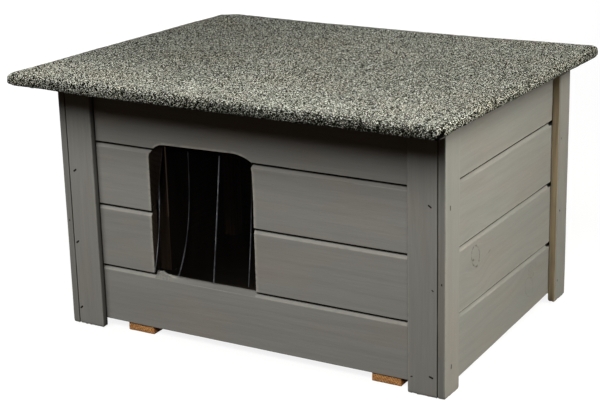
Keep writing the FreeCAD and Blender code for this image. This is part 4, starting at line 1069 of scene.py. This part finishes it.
# --------------------------------------------------------------------- felt
def felt():
    half, v0, v1 = 325.5, -497.14, 40.26
    lo, hi = 1.2, 15.6
    mid, deep = (v0 + v1) / 2, (v1 - v0) / 2
    rim, turn, arc = 14.0, 3.4, 6
    a_in, b_in = half - rim, deep - rim

    def lines(n_half):
        fine = np.arange(0, 24.0, 1.5)
        rest = np.linspace(24.0, n_half * 2 - 24.0, int((n_half * 2 - 48.0) / 3.0))
        return np.concatenate([fine, rest, n_half * 2 - fine[::-1]]) - n_half

    gx, gy = lines(a_in), lines(b_in)
    nx, ny = len(gx), len(gy)
    verts = [np.stack([np.repeat(gx, ny), np.tile(gy, nx), np.full(nx * ny, hi)], 1)]
    grid = np.arange(nx * ny).reshape(nx, ny)
    faces, corner = [], []
    for i in range(nx - 1):
        for j in range(ny - 1):
            faces.append((grid[i, j], grid[i + 1, j], grid[i + 1, j + 1], grid[i, j + 1]))
    # the rim: each point of the grid's border goes out, over the nose and under
    border = [grid[i, 0] for i in range(nx - 1)] + [grid[-1, j] for j in range(ny - 1)] \
        + [grid[i, -1] for i in range(nx - 1, 0, -1)] + [grid[0, j] for j in range(ny - 1, 0, -1)]
    inner, kind = [], []
    for b in border:
        x, y = verts[0][b, 0], verts[0][b, 1]
        at_x, at_y = abs(abs(x) - a_in) < 1e-6, abs(abs(y) - b_in) < 1e-6
        if at_x and at_y:
            sx, sy = math.copysign(1, x), math.copysign(1, y)
            start = {(-1, -1): 180, (1, -1): 270, (1, 1): 0, (-1, 1): 90}[(sx, sy)]
            for k in range(arc + 1):
                inner.append(b)
                kind.append(("c", sx, sy, math.radians(start + 90 * k / arc)))
        elif at_y:
            inner.append(b)
            kind.append(("y", x / a_in, math.copysign(1, y), 0))
        else:
            inner.append(b)
            kind.append(("x", y / b_in, math.copysign(1, x), 0))

    def ring(e, w):
        """The rim's path, e in from the outer edge, at height w."""
        r = max(turn - e, 0.0)
        a, b = half - e, deep - e
        out = []
        for k, p, q, ang in kind:
            if k == "c":
                out.append((p * (a - r) + r * math.cos(ang), q * (b - r) + r * math.sin(ang), w))
            elif k == "y":
                out.append((p * (a - r), q * b, w))
            else:
                out.append((q * a, p * (b - r), w))
        return np.array(out)

    path = [(11.0, hi), (8.0, hi)]
    path += [(6.6 - 6.6 * math.sin(t), hi - 6.6 + 6.6 * math.cos(t)) for t in np.radians(np.arange(0, 91, 11.25))]
    path += [(0.0, 7.4), (0.0, 5.4)]
    path += [(4.2 - 4.2 * math.cos(t), lo + 4.2 - 4.2 * math.sin(t)) for t in np.radians(np.arange(15, 91, 15))]
    path += [(6.5, lo), (9.0, lo), (11.5, lo), (14.0, lo)]
    n_out = len(path)
    path += [(14.0, 3.3), (3.0, 3.3), (2.1, 4.3), (2.1, 8.2), (3.7, 11.9), (7.2, 13.5)]
    count = len(kind)
    prev = inner
    base = nx * ny
    for k, (e, w) in enumerate(path):
        verts.append(ring(e, w))
        this = [base + i for i in range(count)]
        base += count
        for i in range(count):
            j = (i + 1) % count
            f = (prev[i], prev[j], this[j], this[i])
            if f[0] == f[1]:
                f = (f[0], f[2], f[3])
            faces.append(f)
        prev = this
    faces.append(tuple(prev))
    p = np.concatenate(verts)
    outer = nx * ny + n_out * count
    # felt laid by hand: slow waves, a lumpy nose, and the grains' own roughness
    q = p[:outer].copy()
    edge_in = np.minimum(half - np.abs(q[:, 0]), deep - np.abs(q[:, 1]))
    on_rim = 1 - smooth(3.0, 22.0, edge_in)
    slow = fbm(q / 90.0, 71, 3)
    lump = fbm(q / 17.0, 72, 2)
    grit = vnoise(q / 2.6, 73) * 0.6 + vnoise(q / 1.5, 74) * 0.4
    top = q[:, 2] > hi - 2.0
    dz = np.where(top, slow * 0.5 - 0.05, 0.0) + np.where(q[:, 2] < 4, slow * 0.3, 0.0)
    # doubled folds lift two corners, and the front return sags a little
    right, rear = q[:, 0] / half * 0.5 + 0.5, q[:, 1] / deep * 0.5 + 0.5
    lift = 3.3 * np.clip((0.62 - right) / 0.62, 0, 1) ** 0.7 * np.clip(1 - rear, 0, 1)
    lift += 3.3 * np.clip((right - 0.66) / 0.34, 0, 1) * np.clip((rear - 0.5) / 0.5, 0, 1)
    lift += 2.2 * np.clip((0.24 - right) / 0.24, 0, 1) * np.clip((rear - 0.75) / 0.25, 0, 1)
    lift -= (3.2 * smooth(0.70, 1.0, rear) + 0.8 * smooth(0.3, 0.7, rear)) * smooth(0.07, 0.0, right)
    dz += lift * smooth(lo + 2.5, hi - 1.5, q[:, 2])
    dz -= 2.3 * smooth(7.5, 3.0, q[:, 2]) * smooth(24.0, 12.0, deep + q[:, 1]) * smooth(0.08, 0.20, right)
    dz -= 2.0 * smooth(7.5, 3.0, q[:, 2]) * smooth(12.0, 24.0, deep + q[:, 1]) * smooth(44.0, 26.0, deep + q[:, 1]) \
        * smooth(16.0, 6.0, half - q[:, 0])
    low = np.clip(1.15 - (q[:, 2] - lo) / (hi - lo), 0, 1) ** 0.8
    out_n = np.zeros_like(q)
    lean = np.clip((q[:, 2] - (lo + hi) / 2) / ((hi - lo) / 2), -1, 1)
    side_x = smooth(8.0, 0.0, half - np.abs(q[:, 0])) * np.sign(q[:, 0])
    side_y = smooth(8.0, 0.0, deep - np.abs(q[:, 1])) * np.sign(q[:, 1])
    out_n[:, 0], out_n[:, 1], out_n[:, 2] = side_x, side_y, lean
    out_n /= np.maximum(np.linalg.norm(out_n, axis=1, keepdims=True), 1e-6)
    q += out_n * (grit * 0.20 + lump * 0.24 * on_rim - 0.10)[:, None]
    flare = np.clip((0.10 - right) / 0.10, 0, 1) * np.clip((0.12 - rear) / 0.12, 0, 1)
    q[:, 0] -= 1.6 * flare
    q[:, 1] -= 0.7 * flare
    h_was = (q[:, 2] - lo) / (hi - lo)
    tips = smooth(11.0, 1.0, half + q[:, 0]) * smooth(11.0, 1.0, deep + q[:, 1]) * 1.7 \
        + smooth(11.0, 1.0, half - q[:, 0]) * smooth(11.0, 1.0, deep - q[:, 1]) * 1.9
    q[:, 2] += dz - lean * tips
    # corners: the front-right wrap is cut short, so the fold stands open there
    pitch = np.zeros(len(p))
    pale = np.zeros(len(p))
    round_it = deep + q[:, 1] - (half - q[:, 0])       # round the front-right corner, front to side
    near = (deep + q[:, 1] < 26.0) & (half - q[:, 0] < 26.0) & (np.minimum(deep + q[:, 1], half - q[:, 0]) < 6.5)
    from_l = -5.0 + 18.0 * np.clip(h_was / 0.63, 0, 1.1) ** 2.2
    from_r = 17.5 - 4.0 * np.clip((0.26 - h_was) / 0.26, 0, 1)
    inside = smooth(from_l - 0.8, from_l + 0.4, round_it) * smooth(from_r + 0.8, from_r - 0.4, round_it)
    inside = inside * smooth(0.74, 0.64, h_was) * near
    way = np.stack([side_x, side_y], 1)
    way /= np.maximum(np.linalg.norm(way, axis=1, keepdims=True), 1e-6)
    q[:, :2] -= way * (inside * (2.2 - 1.3 * smooth(1.0, 7.0, np.abs(round_it))))[:, None]
    pitch[:outer] = np.maximum(pitch[:outer], inside)
    pale[:outer] = near * smooth(0.16, 0.06, h_was) * smooth(6.0, 8.0, round_it) * smooth(25.0, 20.0, round_it)

    def pocket(sx, sy, wide, high, depth):
        along = (half - q[:, 0] * sx)                   # from the corner, along the edge
        face = deep - q[:, 1] * sy                      # in from the edge
        h = (q[:, 2] - lo) / (hi - lo)
        reach = wide * np.clip(1.12 - 0.75 * h, 0.0, 1.0)
        hole = smooth(reach, reach - 2.2, along) * smooth(high, high - 0.16, h) * smooth(7.0, 4.5, face)
        hole *= smooth(0.4, 2.0, along) * smooth(-0.02, 0.05, h)
        q[:, 1] -= sy * hole * depth
        pitch[:outer] = np.maximum(pitch[:outer], hole)
    pocket(-1, 1, 10.0, 0.6, 2.4)
    pocket(1, 1, 8.0, 0.5, 2.2)
    p[:outer] = q
    p[outer:, :] = p[outer:, :]
    p[:, 1] += mid
    pitch[outer:] = 1.0
    # painted light: the felt is painted brighter along the front and darker towards the left and the rear, where less
    # light falls
    front = smooth(0.42, 0.02, rear)
    fade = 0.892 + 0.262 * front - 0.182 * smooth(0.55, 0.1, right) * (1 - front)
    fade = np.concatenate([fade, np.full(len(p) - outer, 0.95)])
    # down the nose the painted light is dimmed too, a painted shade on the nose's underside
    under = np.ones(len(p))
    under[:outer] = low * smooth(12.0, 4.0, edge_in) * (0.55 + 0.45 * smooth(0.22, 0.60, right))
    under[:outer] *= 1 - 0.62 * smooth(7.0, 2.0, half - q[:, 0]) * smooth(12.0, 26.0, deep + q[:, 1])
    flat = [x for f in faces for x in f]
    return piece("roof_felt", lid_to_house(p), faces,
                 {"pitch": pitch[flat], "pale": pale[flat], "under": under[flat], "fade": (fade * (1 - 0.36 * np.clip(under, 0, 1)))[flat]}, [M["felt"]], angle=80.0,
                 body="lid", replaces=["roof_felt"])


felt()


# ------------------------------------------------------------ curtain strips
def strip(k, left, right, bow, drop, glow=(0.0, 0.0), rim=0.7, glow_l=(0.0, 0.0)):
    """One clear strip. left, right: (dx, dy, power) of its lower corners in mm, the bend gathered
    low down by a higher power; bow of the middle; uneven lower edge; glow, glow_l: how bright the
    right and the left edge are at top and bottom; rim: width of the right edge's eased arris."""
    x0 = -202.7 + 51.2 * k + 0.5
    x1 = x0 + 50.2
    y, top, foot, th = -168.05, 278.5, 97.0, 1.5
    ns, nt = 20, 44
    s = np.concatenate([[0.0, 0.012], np.linspace(0.05, 0.95, ns - 3), [1 - rim / (x1 - x0), 1.0]])
    t = np.linspace(0, 1, nt)
    S, T = np.meshgrid(s, t)
    wl, wr = np.power(T, left[2]), np.power(T, right[2])
    w = wl * (1 - S) + wr * S
    # a strip that has been rolled keeps a slow curl along its length too
    curl = np.sin(T * math.pi) * 0.9 * math.sin(1.3 + k * 2.1)
    X = x0 + (x1 - x0) * S + wl * left[0] * (1 - S) + wr * right[0] * S
    Y = y + wl * left[1] * (1 - S) + wr * right[1] * S
    Y = Y + w * bow * 4 * S * (1 - S) + curl * 4 * S * (1 - S) * 0.4
    Z = top + (foot - top) * T + np.power(T, 3) * (drop[0] * (1 - S) + drop[1] * S)
    mid = np.stack([X, Y, Z], -1)
    ds, dt = np.gradient(mid, axis=1), np.gradient(mid, axis=0)
    n = np.cross(ds, dt)
    n /= np.linalg.norm(n, axis=-1, keepdims=True)
    a, b = mid + n * th / 2, mid - n * th / 2
    rows, cols = S.shape
    verts = np.concatenate([a.reshape(-1, 3), b.reshape(-1, 3)])
    ia = np.arange(rows * cols).reshape(rows, cols)
    ib = ia + rows * cols
    faces, fm = [], []
    for i in range(rows - 1):
        for j in range(cols - 1):
            faces.append((ia[i, j], ia[i, j + 1], ia[i + 1, j + 1], ia[i + 1, j]))
            faces.append((ib[i, j], ib[i + 1, j], ib[i + 1, j + 1], ib[i, j + 1]))
            fm += [0, int((j == cols - 2 and max(glow) > 0) or (j == 0 and max(glow_l) > 0))]
    for j in range(cols - 1):
        faces.append((ia[0, j + 1], ia[0, j], ib[0, j], ib[0, j + 1]))
        faces.append((ia[-1, j], ia[-1, j + 1], ib[-1, j + 1], ib[-1, j]))
        fm += [0, 0]
    for i in range(rows - 1):
        faces.append((ia[i, 0], ia[i + 1, 0], ib[i + 1, 0], ib[i, 0]))
        faces.append((ia[i + 1, -1], ia[i, -1], ib[i, -1], ib[i + 1, -1]))
        fm += [int(max(glow_l) > 0), int(max(glow) > 0)]
    name = "curtain_strip_%d" % (k + 1)
    fall = smooth(0.25, 0.8, T)
    fall_l = (0.22 + 0.78 * smooth(0.30, 0.55, T)) * (1 - 0.5 * smooth(0.86, 0.95, T))
    shine = np.where(S > 0.5, glow[0] + (glow[1] - glow[0]) * fall, glow_l[0] + (glow_l[1] - glow_l[0]) * fall_l)
    shine = np.clip(shine * (0.82 + 0.5 * vnoise(np.stack([T.ravel() * 9.0, np.full(T.size, 0.3),
                                                           np.full(T.size, k * 1.0)], 1), 45).reshape(T.shape)), 0, 1)
    shine = np.concatenate([shine.ravel(), shine.ravel()])
    ob = piece(name, verts, faces, {"lit": shine[[x for f in faces for x in f]]},
               [M["clear"], M["slit"]], fm, angle=50.0,
               replaces=[name], ride=False)
    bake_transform(ob)
    return ob


strip(0, (-6.5, 0.0, 1.6), (-6.5, 0.0, 1.6), 0.0, (0, 0), glow=(0.8, 0.1))
strip(1, (-6.0, -16.0, 2.4), (-18.0, -12.0, 2.9), 13.0, (1.2, 0.0), glow=(0.18, 0.42), glow_l=(0.0, 1.0))
strip(2, (-10.0, -12.0, 2.9), (-10.0, -12.0, 1.05), 3.0, (0.0, 0.3), glow=(0.8, 0.75), rim=0.9)
strip(3, (-9.0, -11.6, 1.05), (-9.2, -4.0, 1.5), 3.0, (0.2, 0.0), glow=(0.06, 0.8))
strip(4, (-8.0, 0.0, 1.5), (-7.5, 0.0, 1.5), 0.0, (0, 0))


# --------------------------------------------------------------- trim nails
def nails():
    """Nail heads driven at a slant: narrow, dark, a little proud of the stain."""
    rows = []
    for x, z, a in ((-279, 233, 38), (-283, 125, 40), (-284, 24, 42), (278, 258, -36), (282, 146, -38),
                    (280, 26, -18), (252, 22, 20)):
        rows.append(((x, FRONT, z + 2.5), (0, -1, 0), a))
    for x, z, a in ((-268, 240, 20), (-272, 130, -30), (-270, 25, 10), (268, 245, -25), (271, 135, 15),
                    (270, 24, -12)):
        rows.append(((x, BACK, z + 2.5), (0, 1, 0), a))
    for sd in (-1, 1):
        for y, z, a in ((13.5, 255, 88), (18.5, 38, 80)):
            rows.append(((sd * SIDE, FRONT + y, z + 2.5), (sd, 0, 0), a))
        for y, z, a in ((30.0, 250, 70), (28.0, 140, 95), (31.0, 32, 84)):
            rows.append(((sd * SIDE, BACK - y, z + 2.5), (sd, 0, 0), a))
        rows.append(((sd * 294.7, FRONT, 158.5), (0, -1, 0), 90))
    verts, faces = [], []
    for i, (p, out, a) in enumerate(rows):
        p, out = np.array(p, float), np.array(out, float)
        up = np.array((0, 0, 1.0))
        right = np.cross(out, up)
        right = -right
        c, s = math.cos(math.radians(a)), math.sin(math.radians(a))
        e1, e2 = right * c + up * s, -right * s + up * c
        lng, wid = (3.3, 1.25) if abs(out[1]) > 0.5 else (3.4, 0.95)
        if p[0] in (282.0, 252.0, -294.7, 294.7) or (abs(out[0]) > 0.5 and p[1] > 0.0):      # these went in deeper, under the stain
            lng, wid = 1.7, 0.85
        prof = [(1.0, -0.9), (1.0, 0.02), (0.86, 0.22), (0.45, 0.32)]
        m = 16
        base = len(verts)
        for sc_, h in prof:
            for k in range(m):
                ang = 2 * math.pi * k / m
                cx = math.copysign(lng - wid, math.cos(ang)) if abs(math.cos(ang)) > 1e-9 else 0.0
                q = p + e1 * (cx * (0.55 + 0.45 * sc_) + wid * sc_ * math.cos(ang)) \
                    + e2 * wid * sc_ * math.sin(ang) + out * (h + 0.04 * math.sin(3 * ang + i))
                verts.append(q)
        rings_n = len(prof)
        for r in range(rings_n - 1):
            for k in range(m):
                n_ = (k + 1) % m
                faces.append((base + r * m + k, base + r * m + n_, base + (r + 1) * m + n_, base + (r + 1) * m + k))
        faces.append(tuple(base + (rings_n - 1) * m + k for k in range(m)))
        faces.append(tuple(base + k for k in reversed(range(m))))
    return piece("trim_nails", verts, faces, None, [M["nail"]], angle=60.0,
                 replaces=["trim_nails"])


nails()

# --------------------------------------------- finish of the other CAD parts
FINISH = {
    "floor_panel": "film", "curtain_band": "clear", "board_nails": "nail", "felt_nails": "zinc",
    "runner_screws": "zinc", "curtain_screws": "zinc", "lid_screws": "zinc", "hinge_pins": "zinc",
    "hinge_screws_trim": "zinc", "hinge_leaf_fixed_left": "zinc", "hinge_leaf_fixed_right": "zinc",
    "hinge_leaf_moving_left": "zinc", "hinge_leaf_moving_right": "zinc",
}
for name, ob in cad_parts.items():
    if ob.hide_render:
        continue
    if not ob.material_slots:
        ob.data.materials.append(M[FINISH[name]])
    for s in ob.material_slots:
        s.material = M[FINISH[name]]

# ------------------------------------------------------------------- camera
cam_data = bpy.data.cameras.new("camera")
cam = bpy.data.objects.new("camera", cam_data)
scene.collection.objects.link(cam)
cam_data.sensor_width = 36.0
cam_data.sensor_fit = "HORIZONTAL"
cam_data.lens = 1613.984 / 600.0 * 36.0
right = Vector((0.86495, 0.50125, -0.02445)).normalized()
down = Vector((0.13535, -0.27992, -0.95044)).normalized()
fwd = right.cross(down).normalized()
down = fwd.cross(right).normalized()
m = Matrix.Identity(4)
for r in range(3):
    m[r][0], m[r][1], m[r][2] = right[r], -down[r], -fwd[r]
m[0][3], m[1][3], m[2][3] = 1.110815, -1.938712 + 0.01525, 0.885361 + 0.0025
cam.matrix_world = m
scene.camera = cam


# -------------------------------------------------------------- light, floor
def softbox(name, at, to, size, watts, colour, spread_deg=180.0):
    d = bpy.data.lights.new(name, "AREA")
    d.spread = math.radians(spread_deg)
    d.shape, d.size, d.size_y = "RECTANGLE", size[0], size[1]
    d.energy, d.color = watts, colour
    o = bpy.data.objects.new(name, d)
    scene.collection.objects.link(o)
    o.location = at
    o.rotation_mode = "QUATERNION"
    o.rotation_quaternion = (Vector(to) - Vector(at)).to_track_quat("-Z", "Y")
    return o


softbox("front", (-0.45, -1.90, 2.02), (0.0, -0.18, 0.33), (1.9, 1.32), 61.0, (1.0, 0.995, 0.975))
softbox("front_right", (1.05, -1.75, 1.95), (0.0, -0.12, 0.28), (0.7, 1.25), 25.0, (1.0, 0.99, 0.96))
softbox("right_high", (1.92, 0.22, 1.96), (0.29, -0.40, 0.30), (0.9, 1.2), 12.2, (1.0, 0.985, 0.90), 70.0)
softbox("right_low", (2.5, 0.25, 0.52), (0.29, -0.45, 0.34), (0.9, 1.1), 5.1, (1.0, 0.985, 0.90), 64.0)
softbox("rear", (-1.9, 2.4, 1.2), (0.0, 0.0, 0.2), (1.8, 1.6), 55.0, (0.98, 0.99, 1.0))

world = bpy.data.worlds.new("world")
scene.world = world
world.use_nodes = True
world.node_tree.nodes["Background"].inputs["Color"].default_value = (0.038, 0.028, 0.021, 1)

fm = bpy.data.materials.new("floor")
fm.use_nodes = True
fb = fm.node_tree.nodes["Principled BSDF"]
fb.inputs["Base Color"].default_value = (0.16, 0.16, 0.16, 1)
fb.inputs["Roughness"].default_value = 0.9
fb.inputs["Specular IOR Level"].default_value = 0.1
fb.inputs["Emission Color"].default_value = (1, 1, 1, 1)
fb.inputs["Emission Strength"].default_value = 0.86
me = bpy.data.meshes.new("floor")
me.from_pydata([(-30, -30, 0), (30, -30, 0), (30, 30, 0), (-30, 30, 0)], [], [(0, 1, 2, 3)])
me.materials.append(fm)
floor = bpy.data.objects.new("floor", me)
scene.collection.objects.link(floor)
floor.visible_diffuse = False
floor.visible_glossy = False
